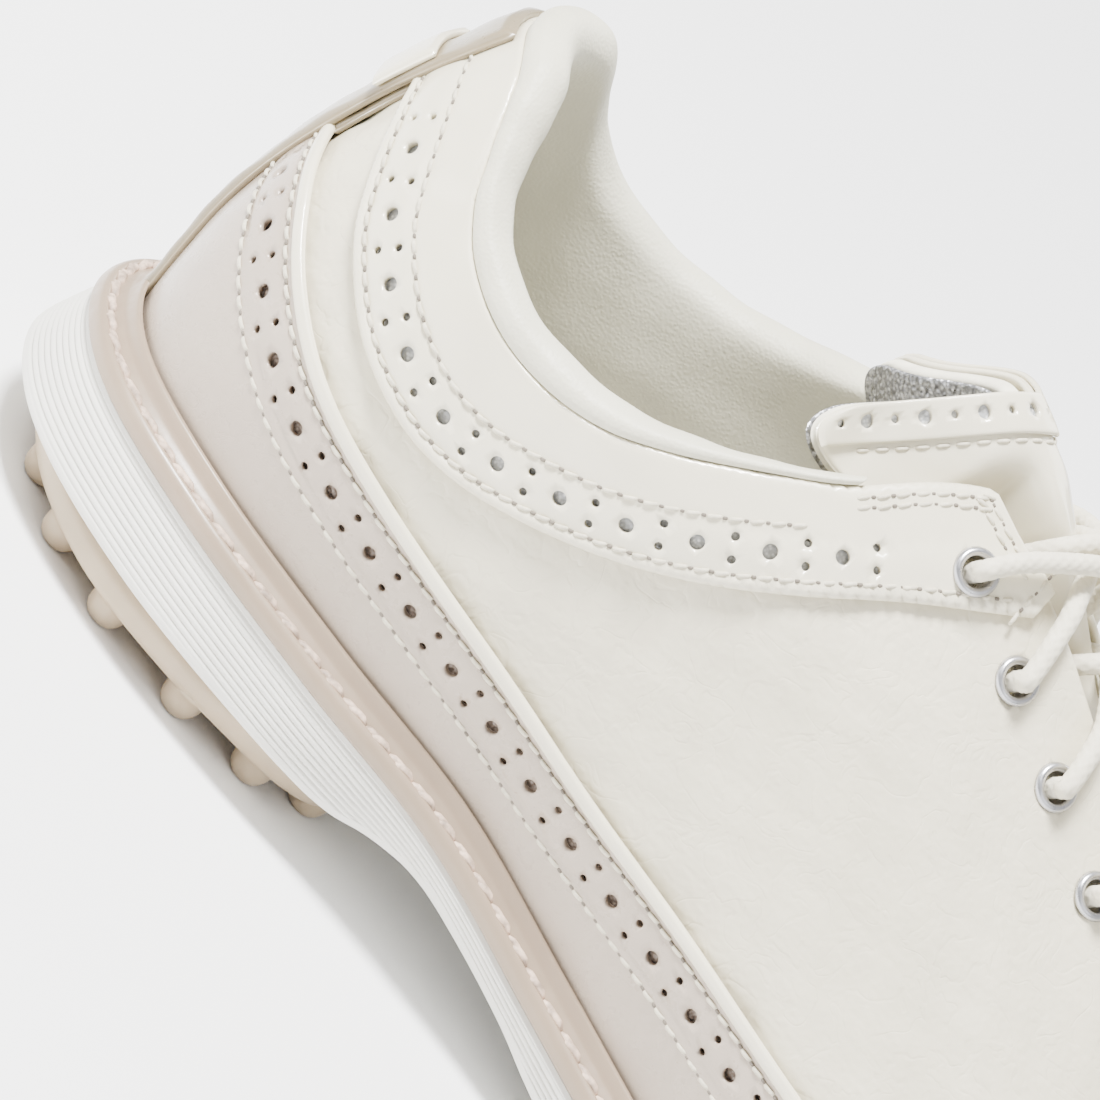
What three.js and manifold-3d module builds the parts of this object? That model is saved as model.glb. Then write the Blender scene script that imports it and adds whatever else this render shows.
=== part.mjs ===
// A left golf shoe: longwing perforated upper on a storm welt, ridged midsole and nubbed rubber soles.
// Millimetres, +X towards the toe, +Y towards the lateral side, +Z up. The origin is on the ground
// under the middle of the shoe, so the shape below is drawn from the heel and moved back at the end.
import * as THREE from "three";
import { mergeVertices } from "three/addons/utils/BufferGeometryUtils.js";
import Module from "manifold-3d";

const wasm = await Module();
wasm.setup();

// ---------- driving dimensions ----------
const GAP = 0.3; // air between neighbouring pieces
const LAP = 0.7; // air between layered leathers
const LEATHER = 1.3; // base leather of quarters and vamp
const OVERLAY = 1.2; // wing, strap and backstay leather
const LINING = 0.9;
const STIFFENER = 1.3; // heel counter and toe puff
const SOCK = 4.2; // sockliner
const BOARD = 1.8; // insole board
const SHANK = 1.4;
const WELT_TALL = 6.6; // from the midsole to the rib of the welt
const WELT_WIDE = 7.4;
const OUTSOLE_BOTTOM = 4.4;
const NUB_R = 3.5;
const NUB_BURIED = 1.2;
const EYELET_HOLE_R = 2.35;
const EYELET_FLANGE_R = 3.75;
const LACE_D = 3.2;
const EYELETS = 6;
const LEVELS = 5;
const K_STEP = 1 / 3;

// Each station runs from the feather edge up the outside of the foot: feather, low, middle, high, crest.
// The crest is the instep ridge, and behind it a loop above the ankle that only guides the shape.
const MEDIAL = [
  [[4, 0, 22.3], [0.2, 0, 48], [1.4, 0, 70], [6, 0, 92], [15, 0, 118]],
  [[12, -21, 22.5], [6, -22, 48], [7.5, -20.5, 70], [12, -17.5, 91], [20, -12, 117]],
  [[33, -31, 22.7], [29, -36, 48], [28.5, -34, 68], [30, -30, 88], [36, -22, 116]],
  [[61, -32.5, 21.8], [60, -38.5, 47], [59, -38, 67], [60, -35, 88], [62, -18, 118]],
  [[90, -30.5, 20.6], [90, -37, 45], [90, -37.5, 67], [89, -31, 93], [88, 0, 123]],
  [[120, -30, 15.2], [121, -37, 40], [121, -37.5, 62], [121, -29, 88], [116, 0, 114]],
  [[155, -36.5, 11.5], [156, -42.5, 34], [156, -41, 53], [156, -30, 74], [152, 0, 97]],
  [[195, -45.5, 10.9], [196, -48.5, 30], [196, -45, 45], [195, -31, 61], [190, -1, 79.5]],
  [[231, -48, 11.6], [233, -50, 29], [233, -45, 41], [231, -31, 53], [222, -3, 67]],
  [[263, -41, 13.4], [267, -42, 28], [266, -38, 38], [260, -26, 47.5], [246, -5, 58]],
  [[286, -27, 15.6], [292, -27, 28], [289, -25, 38], [278, -18, 45.5], [257, -6, 54.5]],
];
const TOE = [[293, -7, 16.6], [299, -7, 28.5], [295, -7, 38], [282, -7, 45.5], [260, -7, 53.5]];
const LATERAL = [
  [[12, 21, 22.5], [6, 22, 48], [7.5, 20.5, 70], [12, 17.5, 91], [20, 12, 117]],
  [[33, 31, 22.7], [29, 36, 48], [28.5, 34, 67], [30, 30, 87], [36, 22, 116]],
  [[61, 33.5, 21.8], [60, 39, 46], [59, 38, 66], [60, 35, 87], [62, 18, 118]],
  [[90, 34, 20.6], [90, 39, 44], [90, 38, 65], [89, 31, 92], [88, 0, 123]],
  [[120, 37, 15.2], [121, 41, 38], [121, 39, 60], [121, 29, 86], [116, 0, 114]],
  [[155, 44, 11.5], [156, 46.5, 32], [156, 43.5, 50], [156, 30, 72], [152, 0, 97]],
  [[193, 49, 10.9], [194, 50, 28], [194, 46, 43], [194, 31, 59], [190, -1, 79.5]],
  [[226, 43, 11.6], [228, 44, 27], [228, 40, 39], [228, 27, 51], [222, -3, 67]],
  [[258, 31, 13.4], [262, 33, 27], [261, 30, 37], [256, 19, 46.5], [246, -5, 58]],
  [[282, 14, 15.6], [287, 15, 27.5], [284, 14, 37], [274, 7, 45], [257, -6, 54.5]],
];

// Side-view lines, as [x, z]: they bound the pieces of the upper.
const TOPLINE = [[8, 99], [13, 97.5], [19, 89.5], [24, 83.5], [32, 79], [44, 77.3], [57, 80], [68, 86],
  [80, 94.5], [88, 100.5], [94, 107], [99, 111], [104, 113.5], [108, 115]];
const STRAP_EDGE = [[-2, 88], [5, 80], [10, 73], [16, 66.5], [27, 60.5], [38, 58], [47, 58], [57, 60.6],
  [72, 68], [85, 77.3], [96, 87], [106.5, 96.2], [117.6, 104], [124, 107.6], [134, 112]];
const FOXING_EDGE = [[-2, 70], [6, 64], [16, 57.5], [30, 52.3], [49, 49.3], [75, 47], [102, 44],
  [127, 43], [153, 42], [180, 41.5], [205, 43], [224, 47], [238, 52], [252, 57.5]];

// Lacing: the eyelets of the medial side, as [x, distance from the middle].
const EYELET_ROW = [[109, 18.8], [125.4, 18.2], [141, 17.2], [157, 16.2], [173, 15.2], [189, 14.2]];
const THROAT_EDGE = [[96, 12.5], [109, 12.2], [117, 10.6], [125, 9.4], [141, 8.2], [157, 7.8], [173, 7.4],
  [189, 7.2], [203, 6.6]];

const COLOUR = {
  cream: 0xece8df, quarter: 0xeae7e0, foxing: 0xdcd6cf, strap: 0xeeebe3, stay: 0xd3ccbd,
  welt: 0xdccfc0, midsole: 0xf4f2f0, rubber: 0xd4c3ae, lining: 0xe6e6df, silver: 0xa7a7a9,
  metal: 0xc9c9cd, lace: 0xf0ede4, board: 0xc9b596, foam: 0xe9e4cf, plastic: 0x8d8f93, sock: 0xdedbd2,
};

// ---------- curves and the foot surface ----------
const clamp = (x, lo, hi) => Math.min(hi, Math.max(lo, x));
const mix = (a, b, u) => a + (b - a) * u;

function catmull(a, b, c, d, u) {
  return 0.5 * (2 * b + (c - a) * u + (2 * a - 5 * b + 4 * c - d) * u * u
    + (3 * b - a - 3 * c + d) * u * u * u);
}
// A point of a smooth curve through rows of numbers, open or closed, at u counted in rows.
function along(rows, u, closed = false) {
  const n = rows.length;
  const i = closed ? Math.floor(u) : clamp(Math.floor(u), 0, n - 2);
  const at = (k) => rows[closed ? ((k % n) + n) % n : clamp(k, 0, n - 1)];
  return rows[0].map((_, c) => catmull(at(i - 1)[c], at(i)[c], at(i + 1)[c], at(i + 2)[c], u - i));
}
// The second value of a line of [x, value] rows at x.
function valueAt(line, x) {
  let i = 0;
  while (i < line.length - 2 && line[i + 1][0] < x) i++;
  const span = line[i + 1][0] - line[i][0];
  return mix(line[i][1], line[i + 1][1], clamp((x - line[i][0]) / span, 0, 1));
}
function smoothLine(line, steps = 6) {
  const made = [];
  for (let k = 0; k <= (line.length - 1) * steps; k++) made.push(along(line, k / steps));
  return made;
}
const TOP = smoothLine(TOPLINE);
const STRAP_LOW = smoothLine(STRAP_EDGE);
const FOXING_TOP = smoothLine(FOXING_EDGE);
const THROAT = smoothLine(THROAT_EDGE);

const STATIONS = [...MEDIAL, TOE, ...LATERAL.slice().reverse()];
const COUNT = STATIONS.length;
const HALF = MEDIAL.length; // stations from the heel to the toe

// The outside of the base leather. k counts stations, v runs from 0 at the feather edge to 1 at the crest.
// Past the crest the surface goes on down the other side, which keeps the instep round.
function foot(k, v) {
  const levels = [];
  for (let l = 0; l < LEVELS; l++) levels.push(along(STATIONS.map((s) => s[l]), k, true));
  levels.push(along(STATIONS.map((s) => s[LEVELS - 2]), COUNT - k, true));
  const u = v * (LEVELS - 1);
  const i = clamp(Math.floor(u), 0, LEVELS - 2);
  const at = (n) => levels[clamp(n, 0, LEVELS)];
  return new THREE.Vector3(...levels[0].map((_, c) =>
    catmull(at(i - 1)[c], at(i)[c], at(i + 1)[c], at(i + 2)[c], u - i)));
}
function footNormal(k, v) {
  const e = 0.01;
  const va = clamp(v, 0.005, bySide(k) > 9 ? 0.985 : 1);
  const dk = foot(k + e * 4, va).sub(foot(k - e * 4, va));
  const dv = foot(k, va + e).sub(foot(k, va - e));
  return dk.cross(dv).normalize();
}
const skin = (k, v, off) => foot(k, v).addScaledVector(footNormal(k, v), off);

// The v at which a test of the point changes sign, going up from the feather edge.
function rise(k, test, from = 0.02, to = 1) {
  const steps = 60;
  let lo = from;
  for (let s = 1; s <= steps; s++) {
    const v = mix(from, to, s / steps);
    if (test(foot(k, v)) > 0) {
      let hi = v;
      for (let n = 0; n < 24; n++) {
        const mid = (lo + hi) / 2;
        if (test(foot(k, mid)) > 0) hi = mid;
        else lo = mid;
      }
      return (lo + hi) / 2;
    }
    lo = v;
  }
  return to;
}
const topV = (k) => Math.min(
  rise(k, (p) => (p.x < 106 ? p.z - valueAt(TOP, p.x) : -1)),
  rise(k, (p) => (p.x > 98 ? valueAt(THROAT, p.x) - Math.abs(p.y) : -1)),
);
const strapV = (k) => rise(k, (p) => p.z - valueAt(STRAP_LOW, p.x));
const foxingV = (k) => rise(k, (p) => p.z - valueAt(FOXING_TOP, p.x));

// ---------- solids ----------
function solidOf(geometry) {
  const bare = geometry.index ? geometry.toNonIndexed() : geometry.clone();
  bare.deleteAttribute("normal");
  bare.deleteAttribute("uv");
  const merged = mergeVertices(bare, 1e-4);
  return new wasm.Manifold(new wasm.Mesh({ numProp: 3,
    vertProperties: merged.attributes.position.array, triVerts: new Uint32Array(merged.index.array) }));
}
function geometryOf(solid) {
  const made = solid.getMesh();
  return new THREE.BufferGeometry()
    .setAttribute("position", new THREE.BufferAttribute(made.vertProperties, 3))
    .setIndex(new THREE.BufferAttribute(made.triVerts, 1));
}
// A closed skin between two grids of points of the same size, with a wall round the rim.
// The last row of a folded grid is doubled on itself, so it has no rim there.
function shell(outer, inner, { folded = false } = {}) {
  const points = [];
  const quad = (a, b, c, d) => points.push(a, b, c, a, c, d);
  const rows = outer.length;
  const cols = outer[0].length;
  for (let i = 0; i < rows - 1; i++) {
    const n = i + 1;
    for (let j = 0; j < cols - 1; j++) {
      quad(outer[i][j], outer[n][j], outer[n][j + 1], outer[i][j + 1]);
      quad(inner[i][j], inner[i][j + 1], inner[n][j + 1], inner[n][j]);
    }
    quad(outer[n][0], outer[i][0], inner[i][0], inner[n][0]);
    quad(outer[i][cols - 1], outer[n][cols - 1], inner[n][cols - 1], inner[i][cols - 1]);
  }
  for (let j = 0; j < cols - 1; j++) {
    quad(outer[0][j], outer[0][j + 1], inner[0][j + 1], inner[0][j]);
    if (!folded) {
      const e = rows - 1;
      quad(outer[e][j + 1], outer[e][j], inner[e][j], inner[e][j + 1]);
    }
  }
  const kept = [];
  for (let t = 0; t < points.length; t += 3) {
    const [a, b, c] = [points[t], points[t + 1], points[t + 2]];
    const apart = (p, q) => p.distanceToSquared(q) > 1e-10;
    if (apart(a, b) && apart(b, c) && apart(a, c)) kept.push(a, b, c);
  }
  return new THREE.BufferGeometry().setFromPoints(kept);
}
const steps = (from, to, n) => Array.from({ length: n + 1 }, (_, i) => mix(from, to, i / n));
const plain = (value) => (typeof value === "function" ? value : () => value);

// Stations from k0 to k1. Every panel shares the whole multiples, so that layers lie facet on facet.
function stationsFrom(k0, k1) {
  const whole = Array.from({ length: Math.round(COUNT / K_STEP) }, (_, i) => i * K_STEP - HALF);
  return [k0, ...whole.filter((k) => k > k0 + 0.05 && k < k1 - 0.05), k1];
}
// A leather panel: stations from k0 to k1, up from low(k) to high(k), between two offsets from the foot.
function panel({ k0, k1, low, high, outside, inside, cols }) {
  const [lowAt, highAt, out, inn] = [low, high, outside, inside].map(plain);
  const ks = stationsFrom(k0, k1);
  const grid = (off) => ks.map((k) => {
    const [a, b] = [lowAt(k), highAt(k)];
    return steps(0, 1, cols).map((u) => skin(k, mix(a, b, u), off(k, mix(a, b, u), u)));
  });
  return solidOf(shell(grid(out), grid(inn)));
}
// A panel over the front of the foot, from the medial feather edge over the ridge to the lateral one.
function cap({ k0, low, outside, inside, cols }) {
  const [lowAt, out, inn] = [low, outside, inside].map(plain);
  const grid = (off) => stationsFrom(k0, HALF).map((k) => {
    const side = (kk) => steps(lowAt(k), 1, cols).map((v) => skin(kk, v, off(kk, v)));
    const [medial, lateral] = [side(k), side(COUNT - k)];
    medial[cols].lerp(lateral[cols], 0.5);
    return [...medial, ...lateral.slice(0, cols).reverse()];
  });
  const [outer, inner] = [grid(out), grid(inn)];
  for (const rowsOf of [outer, inner]) {
    const last = rowsOf[rowsOf.length - 1];
    for (let j = 0; j < cols; j++) {
      last[j].lerp(last[2 * cols - j], 0.5);
      last[2 * cols - j].copy(last[j]);
    }
  }
  return solidOf(shell(outer, inner, { folded: true }));
}

// A plate whose outline at each height is a loop: edge(k, level) gives the rim, one level per row upwards.
function plate(edge, levels, rows = 22, cols = 6) {
  const ks = steps(0, HALF, rows);
  const points = [];
  const tri = (a, b, c) => points.push(a, b, c);
  const quad = (a, b, c, d) => { tri(a, b, c); tri(a, c, d); };
  const last = levels - 1;
  const across = (k, level) => steps(0, 1, cols).map((u) => edge(k, level).lerp(edge(COUNT - k, level), u));
  for (let i = 0; i < rows; i++) {
    for (const [level, up] of [[0, false], [last, true]]) {
      const [a, b] = [across(ks[i], level), across(ks[i + 1], level)];
      for (let j = 0; j < cols; j++) {
        if (up) quad(a[j], b[j], b[j + 1], a[j + 1]);
        else quad(a[j + 1], b[j + 1], b[j], a[j]);
      }
    }
    for (const [k, n, flip] of [[ks[i], ks[i + 1], false], [COUNT - ks[i], COUNT - ks[i + 1], true]]) {
      for (let l = 0; l < last; l++) {
        const [a, b, c, d] = [edge(k, l), edge(n, l), edge(n, l + 1), edge(k, l + 1)];
        if (flip) quad(b, a, d, c);
        else quad(a, b, c, d);
      }
    }
  }
  const kept = [];
  for (let t = 0; t < points.length; t += 3) {
    const [a, b, c] = [points[t], points[t + 1], points[t + 2]];
    const apart = (p, q) => p.distanceToSquared(q) > 1e-10;
    if (apart(a, b) && apart(b, c) && apart(a, c)) kept.push(a, b, c);
  }
  return solidOf(new THREE.BufferGeometry().setFromPoints(kept));
}

const group = new THREE.Group();
const mirror = (k) => COUNT - k;
function add(name, solid, colour, { roughness = 0.6, metalness = 0 } = {}) {
  const mesh = new THREE.Mesh(solid.isBufferGeometry ? solid : geometryOf(solid),
    new THREE.MeshStandardMaterial({ color: colour, roughness, metalness }));
  mesh.name = name;
  group.add(mesh);
  return mesh;
}

// ---------- bottom unit ----------
// The feather line moved outwards in plan by a distance, at a height of its own.
function rim(k, out, z) {
  const p = foot(k, 0);
  const d = foot(k + 0.05, 0).sub(foot(k - 0.05, 0));
  const n = new THREE.Vector3(d.y, -d.x, 0).normalize();
  return p.addScaledVector(n, out).setZ(z);
}
const MIDSOLE_LOW = [[-8, 9.6], [60, 9.5], [76, 9.7], [84, 11.8], [93, 13], [104, 11.6], [117, 9.2],
  [128, 6.6], [140, 5.8], [200, 5.7], [235, 6.4], [262, 8.4], [285, 11], [306, 14]];
const LOW = smoothLine(MIDSOLE_LOW);
const MIDSOLE_FLARE = [[0, 10.5], [1.6, 11], [3, 9], [4, 4.5], [5, 5.6], [6.5, 7.6], [11, 7.8]];
const FLARE = smoothLine(MIDSOLE_FLARE);
const WELT_OUT = WELT_WIDE + OVERLAY + 2 * GAP;
const bySide = (k) => {
  const round = ((k % COUNT) + COUNT) % COUNT;
  return round > HALF ? COUNT - round : round;
};
const flare = (k) => valueAt(FLARE, bySide(k));
const bedZ = (k) => foot(k, 0).z - GAP; // top of the midsole

function midsole() {
  const edge = (k, level) => {
    const out = [flare(k) - 1.2, flare(k), mix(flare(k), WELT_OUT - 0.8, 0.5) + 0.3, WELT_OUT - 0.6,
      WELT_OUT - 1][level];
    const p = rim(k, out, 0);
    return p.setZ(mix(valueAt(LOW, p.x), bedZ(k), [0, 0.1, 0.45, 0.85, 1][level]));
  };
  return plate(edge, 5, 33, 2);
}
// A side-view band pulled through the whole width, and an outline in plan pulled through the height.
function band(lower, upper) {
  const loop = [...lower, ...upper.slice().reverse()];
  const shape = new THREE.Shape(loop.map(([x, z]) => new THREE.Vector2(x, z)));
  const made = new THREE.ExtrudeGeometry(shape, { depth: 140, bevelEnabled: false });
  return solidOf(made.rotateX(Math.PI / 2).translate(0, 70, 0));
}
function column(outline, z0, z1, taper = 0) {
  const loop = Array.from({ length: outline.length * 3 }, (_, i) => along(outline, i / 3, true));
  const middle = loop.reduce((s, p) => [s[0] + p[0] / loop.length, s[1] + p[1] / loop.length], [0, 0]);
  const made = new THREE.ExtrudeGeometry(new THREE.Shape(loop.map(([x, y]) => new THREE.Vector2(x, y))),
    { depth: z1 - z0, bevelEnabled: false });
  const at = made.attributes.position;
  for (let i = 0; i < at.count; i++) {
    const grow = 1 + taper * at.getZ(i) / (z1 - z0);
    at.setXYZ(i, mix(middle[0], at.getX(i), grow), mix(middle[1], at.getY(i), grow), at.getZ(i) + z0);
  }
  return solidOf(made);
}
const HEEL_PAD = [[2, 0], [5.5, -15], [14.5, -29], [28.5, -37.5], [45, -38.2], [58, -35.4], [70, -31],
  [77, -22], [80, 0], [77, 22], [70, 31], [58, 35.4], [45, 38.2], [28.5, 37.5], [14.5, 29], [5.5, 15]];
const FOREFOOT_PAD = [[134, 0], [138, -26], [146, -38], [164, -44], [196, -51.5], [232, -52.5], [265, -44],
  [288, -26], [297, -7], [286, 14], [262, 34], [230, 46], [194, 53.5], [164, 49], [146, 43], [138, 28]];
const HEEL_NUBS = [[11.8, -17], [11.8, 17], [21, -28], [21, 28], [34, -33], [34, 33], [51, -33], [51, 33],
  [65, -28], [65, 28], [74, -18], [74, 18], [30, 0], [54, 0]];
const FOREFOOT_NUBS = [[144, -27], [144, 28], [160, -38], [160, 42], [180, -44], [181, 46], [202, -46],
  [203, 45], [223, -46], [224, 40], [243, -42], [245, 32], [260, -34], [263, 20], [275, -23], [278, 7],
  [171, 0], [200, 0], [229, -3], [254, -8]];
const soleBottom = (x) => Math.max(OUTSOLE_BOTTOM - 0.6, valueAt(LOW, x) - GAP - 2);
function nub(x, y, foot0, top) {
  const profile = [[0, 0], [1.5, 0], [2.7, 0.9], [NUB_R, 2.6], [NUB_R, top - foot0], [0, top - foot0]]
    .map(([r, z]) => new THREE.Vector2(r, z));
  return solidOf(new THREE.LatheGeometry(profile, 7).rotateX(Math.PI / 2).translate(x, y, foot0));
}
function withNubs(pad, places, bottomAt) {
  return places.reduce((made, [x, y]) => {
    const bottom = bottomAt(x);
    return made.add(nub(x, y, Math.max(0, bottom - OUTSOLE_BOTTOM), bottom + NUB_BURIED));
  }, pad);
}
function heelOutsole() {
  return withNubs(column(HEEL_PAD, OUTSOLE_BOTTOM, 9.2, 0.03), HEEL_NUBS, () => OUTSOLE_BOTTOM);
}
function forefootOutsole() {
  const xs = steps(125, 306, 30);
  const side = band(xs.map((x) => [x, soleBottom(x)]), xs.map((x) => [x, valueAt(LOW, x) - GAP]));
  return withNubs(column(FOREFOOT_PAD, 1, 20).intersect(side), FOREFOOT_NUBS, soleBottom);
}

// The point of a skin at a height above the feather edge.
function atHeight(k, h, off) {
  const z = foot(k, 0).z + h;
  return skin(k, rise(k, (p) => p.z - z, 0, 0.6), off);
}
// The storm welt: bead, stitch groove and rib, closed on itself round the whole shoe.
function welt() {
  const clear = OVERLAY + LAP + 2 * GAP;
  const section = (k) => {
    const feather = foot(k, 0);
    const bed = feather.z;
    const out = rim(k, 1, bed).sub(feather.clone().setZ(bed));
    const low = atHeight(k, 0.05, clear).setZ(bed);
    const high = atHeight(k, WELT_TALL, clear);
    const from = high.clone().sub(feather).dot(out);
    const place = (u, h) => {
      const n = mix(from, WELT_OUT, u);
      return high.clone().addScaledVector(out, n - from).setZ(bed + h);
    };
    return [low, place(0.92, 0), place(1, 0.8), place(0.96, 2), place(0.66, 3.1), place(0.54, 2.9),
      place(0.3, 4.8), place(0.14, WELT_TALL), high];
  };
  const ks = steps(0, COUNT, Math.round(COUNT / K_STEP)).slice(0, -1);
  const rings = ks.map(section);
  const points = [];
  rings.forEach((ring, i) => {
    const next = rings[(i + 1) % rings.length];
    ring.forEach((p, j) => {
      const m = (j + 1) % ring.length;
      points.push(p, next[j], next[m], p, next[m], ring[m]);
    });
  });
  return solidOf(new THREE.BufferGeometry().setFromPoints(points));
}

// ---------- upper ----------
const SEAM_K = 7.2; // where the quarters meet the vamp
const CAP_K = 8; // where the wings meet the toe cap
const LOW_V = 0.015;
const LAP_V = 0.05; // the overlays start a little higher
const easeBetween = (x, a, b) => {
  const u = clamp((x - a) / (b - a), 0, 1);
  return u * u * (3 - 2 * u);
};
// How far the lining stands in from the base leather: further behind the counter and the toe puff.
const liningOff = (k) => {
  const side = bySide(k);
  const room = STIFFENER + GAP;
  const heel = 1 - easeBetween(side, 2.9, 3.7);
  const toe = easeBetween(side, 8.4, 9.1);
  return -(LEATHER + 2 * GAP) - room * Math.max(heel, toe);
};
// The ankle roll, as [outwards, upwards] from the top edge of the quarter.
const ROLL = [[0.9, 0.7], [2, 2.1], [1.7, 3.8], [-0.4, 5.3], [-3, 5.4], [-5.6, 3.6], [-6.6, 0], [-6.9, -7],
  [-6.4, -15], [-5.2, -24], [-4.3, -31]];
const ROLL_INNER = [[0.9, 0.7], [1.1, 2.2], [0.9, 3.4], [-0.8, 4.5], [-2.9, 4.5], [-4.9, 3.1], [-5.7, 0],
  [-6, -7], [-5.5, -15], [-4.4, -23.6], [-4.3, -31]];
const ROLL_END = 4;
const FOAM_END = 3.4;
const PAD_BACK = -2.2; // the side of the padding that lies against the leather
const rollSize = (k) => 1 - 0.55 * easeBetween(bySide(k), 2.6, 4);
function rollPoint(k, v, [n, t]) {
  const s = rollSize(k);
  const out = n < PAD_BACK ? PAD_BACK + (n - PAD_BACK) * s : n;
  if (t > 0) {
    const up = foot(k, v).sub(foot(k, v - 0.02)).normalize();
    return skin(k, v, out).addScaledVector(up, t * s);
  }
  const drop = mix(0.6, 1, s) * t;
  const at = rise(k, (p) => p.z - foot(k, v).z - drop, 0.05, v);
  return skin(k, t === 0 ? v : at, out);
}
function rollSkin(outer, inner, end) {
  const ks = stationsFrom(-end, end);
  const grid = (profile) => ks.map((k) => {
    const v = topV(k);
    return profile.map((p) => rollPoint(k, v, p));
  });
  return solidOf(shell(grid(outer), grid(inner)));
}
const FOAM = [[PAD_BACK, 0.7], [-0.3, 1.7], [-0.1, 3], [-1.2, 3.7], [-2.8, 3.7], [-4.1, 2.6], [-4.9, 0],
  [-5.2, -7], [-4.7, -15], [-3.4, -22]];
const FOAM_INNER = [0.7, 0.6, 0.5, 0.4, 0.2, 0, -2, -7, -15, -22].map((t) => [PAD_BACK, t]);

// Where a place in plan lies on the foot: the station and the height on its side. side is -1 for medial.
function locate(x, y) {
  const side = y > 0 ? 1 : -1;
  const vAt = (k) => rise(k, (p) => Math.abs(y) - Math.abs(p.y), 0.6, 1);
  let [lo, hi] = [3.4, 7.8];
  for (let i = 0; i < 20; i++) {
    const mid = (lo + hi) / 2;
    const k = side > 0 ? COUNT - mid : mid;
    if (foot(k, vAt(k)).x < x) lo = mid;
    else hi = mid;
  }
  const k = side > 0 ? COUNT - lo : lo;
  return { k, v: vAt(k) };
}
const over = (x, y, off) => {
  const { k, v } = locate(x, y);
  return skin(k, v, off);
};
const throatAt = (x) => valueAt(THROAT, x);

// An eyelet and the punch for its hole, both drawn along Z and turned to the leather.
function turned(geometry, at, normal) {
  const q = new THREE.Quaternion().setFromUnitVectors(new THREE.Vector3(0, 0, 1), normal);
  return geometry.applyQuaternion(q).translate(at.x, at.y, at.z);
}
const BARREL_R = EYELET_HOLE_R + 0.5;
function lathe(profile, segments) {
  const made = new THREE.LatheGeometry(profile.map(([r, z]) => new THREE.Vector2(r, z)), segments);
  return made.rotateX(Math.PI / 2);
}
function eyelet(spot) {
  const face = spot.face + GAP;
  const back = -(LEATHER + 3 * GAP + LINING + 0.6);
  const profile = [[EYELET_HOLE_R, back - 0.4], [BARREL_R + 0.6, back - 0.4], [BARREL_R + 0.6, back],
    [BARREL_R, back], [BARREL_R, face], [EYELET_FLANGE_R, face], [EYELET_FLANGE_R - 0.6, face + 0.9],
    [EYELET_HOLE_R, face + 0.7], [EYELET_HOLE_R, back - 0.4]];
  return solidOf(turned(lathe(profile, 8), spot.at, spot.normal));
}
const SPOTS = [-1, 1].flatMap((side) => EYELET_ROW.map(([x, y], i) => {
  const { k, v } = locate(x, y * side);
  const face = i === 0 ? OVERLAY + LAP : 0; // the highest pair goes through the strap too
  return { side, i, x, y: y * side, k, v, at: foot(k, v), normal: footNormal(k, v), face };
}));
const spot = (side, i) => SPOTS.find((s) => s.side === side && s.i === i);
function punched(solid, side) {
  const hole = [[0, -4.2], [BARREL_R + GAP, -4.2], [BARREL_R + GAP, 5], [0, 5]];
  return SPOTS.filter((s) => s.side === side).reduce(
    (made, s) => made.subtract(solidOf(turned(lathe(hole, 8), s.at, s.normal))), solid);
}

// ---------- tongue ----------
const TONGUE_SIDE_V = 0.815;
const TONGUE_FRONT_K = 7.45;
const TONGUE_TOP_K = 4.2;
const FLAP_PART = 0.115; // share of the tongue's length that swings above the last lace
const TRIM_PART = 0.075; // the folded, perforated band along its top edge
const TONGUE_LEATHER = 1.2;
const TONGUE_PAD = 2.4;
const tongueTopK = (b) => TONGUE_TOP_K - 0.56 * Math.abs(b) ** 1.7;
// The outer face of the tongue, measured from the foot: proud between the facings, deep below them.
function tongueOff(k, v) {
  const side = bySide(k);
  const p = foot(k, v);
  const edge = throatAt(p.x);
  const laced = easeBetween(side, 4.3, 4.62);
  const proud = mix(1, -3.2, easeBetween(side, 4.6, 5.6));
  const deep = mix(mix(-3.2, -5.6, easeBetween(side, 3.6, 3.95)), -9.3, laced);
  return mix(proud, deep, easeBetween(Math.abs(p.y), mix(5, edge - 9, laced), mix(22, edge - 2, laced)));
}
function tongueSkin({ a0, a1, from, to, rows, half }) {
  const grid = (off) => steps(a0, a1, rows).map((a) => {
    const across = steps(-1, 1, 2 * half);
    return across.map((b) => {
      const k = mix(tongueTopK(b), TONGUE_FRONT_K, a);
      const v = 1 - (1 - TONGUE_SIDE_V) * Math.abs(b);
      const kk = b > 0 ? COUNT - k : k;
      const p = skin(kk, v, tongueOff(kk, v) + off);
      return b === 0 ? p.lerp(skin(COUNT - kk, v, tongueOff(kk, v) + off), 0.5) : p;
    });
  });
  return solidOf(shell(grid(from), grid(to)));
}

// ---------- lace ----------
const UNDER = -(LEATHER + 2 * GAP + LINING + LACE_D / 2 + 1.5);
const crestTongue = (x) => tongueOff(locate(x, -0.05).k, 1);
// One strand from eyelet to eyelet: out over its own facing, across the tongue, in below the other facing.
function strand(from, to, high) {
  const at = (t, off) => over(mix(from.x, to.x, t), mix(from.y, to.y, t), off);
  const middle = crestTongue(mix(from.x, to.x, 0.5)) + LACE_D / 2 + 0.6 + (high ? LACE_D + 1 : 0);
  const edge = throatAt(to.x) + 0.2;
  const tEdge = 0.5 + edge / (2 * Math.abs(to.y));
  const points = [];
  if (from.i < EYELETS - 1) {
    const out = from.face + 3.5;
    points.push(skin(from.k, from.v, out - 0.3), at(0.12, out), at(0.24, mix(out, middle, 0.25)));
    if (high) points.push(at(0.4, mix(middle, out, 0.12)));
  } else {
    points.push(at(0.15, UNDER), at(1 - tEdge, UNDER), at(mix(0.5, 1 - tEdge, 0.5), mix(middle, UNDER, 0.42)));
  }
  points.push(at(0.5, middle), at(mix(0.5, tEdge, 0.5), mix(middle, UNDER, 0.36)), at(tEdge, UNDER));
  return points;
}
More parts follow.
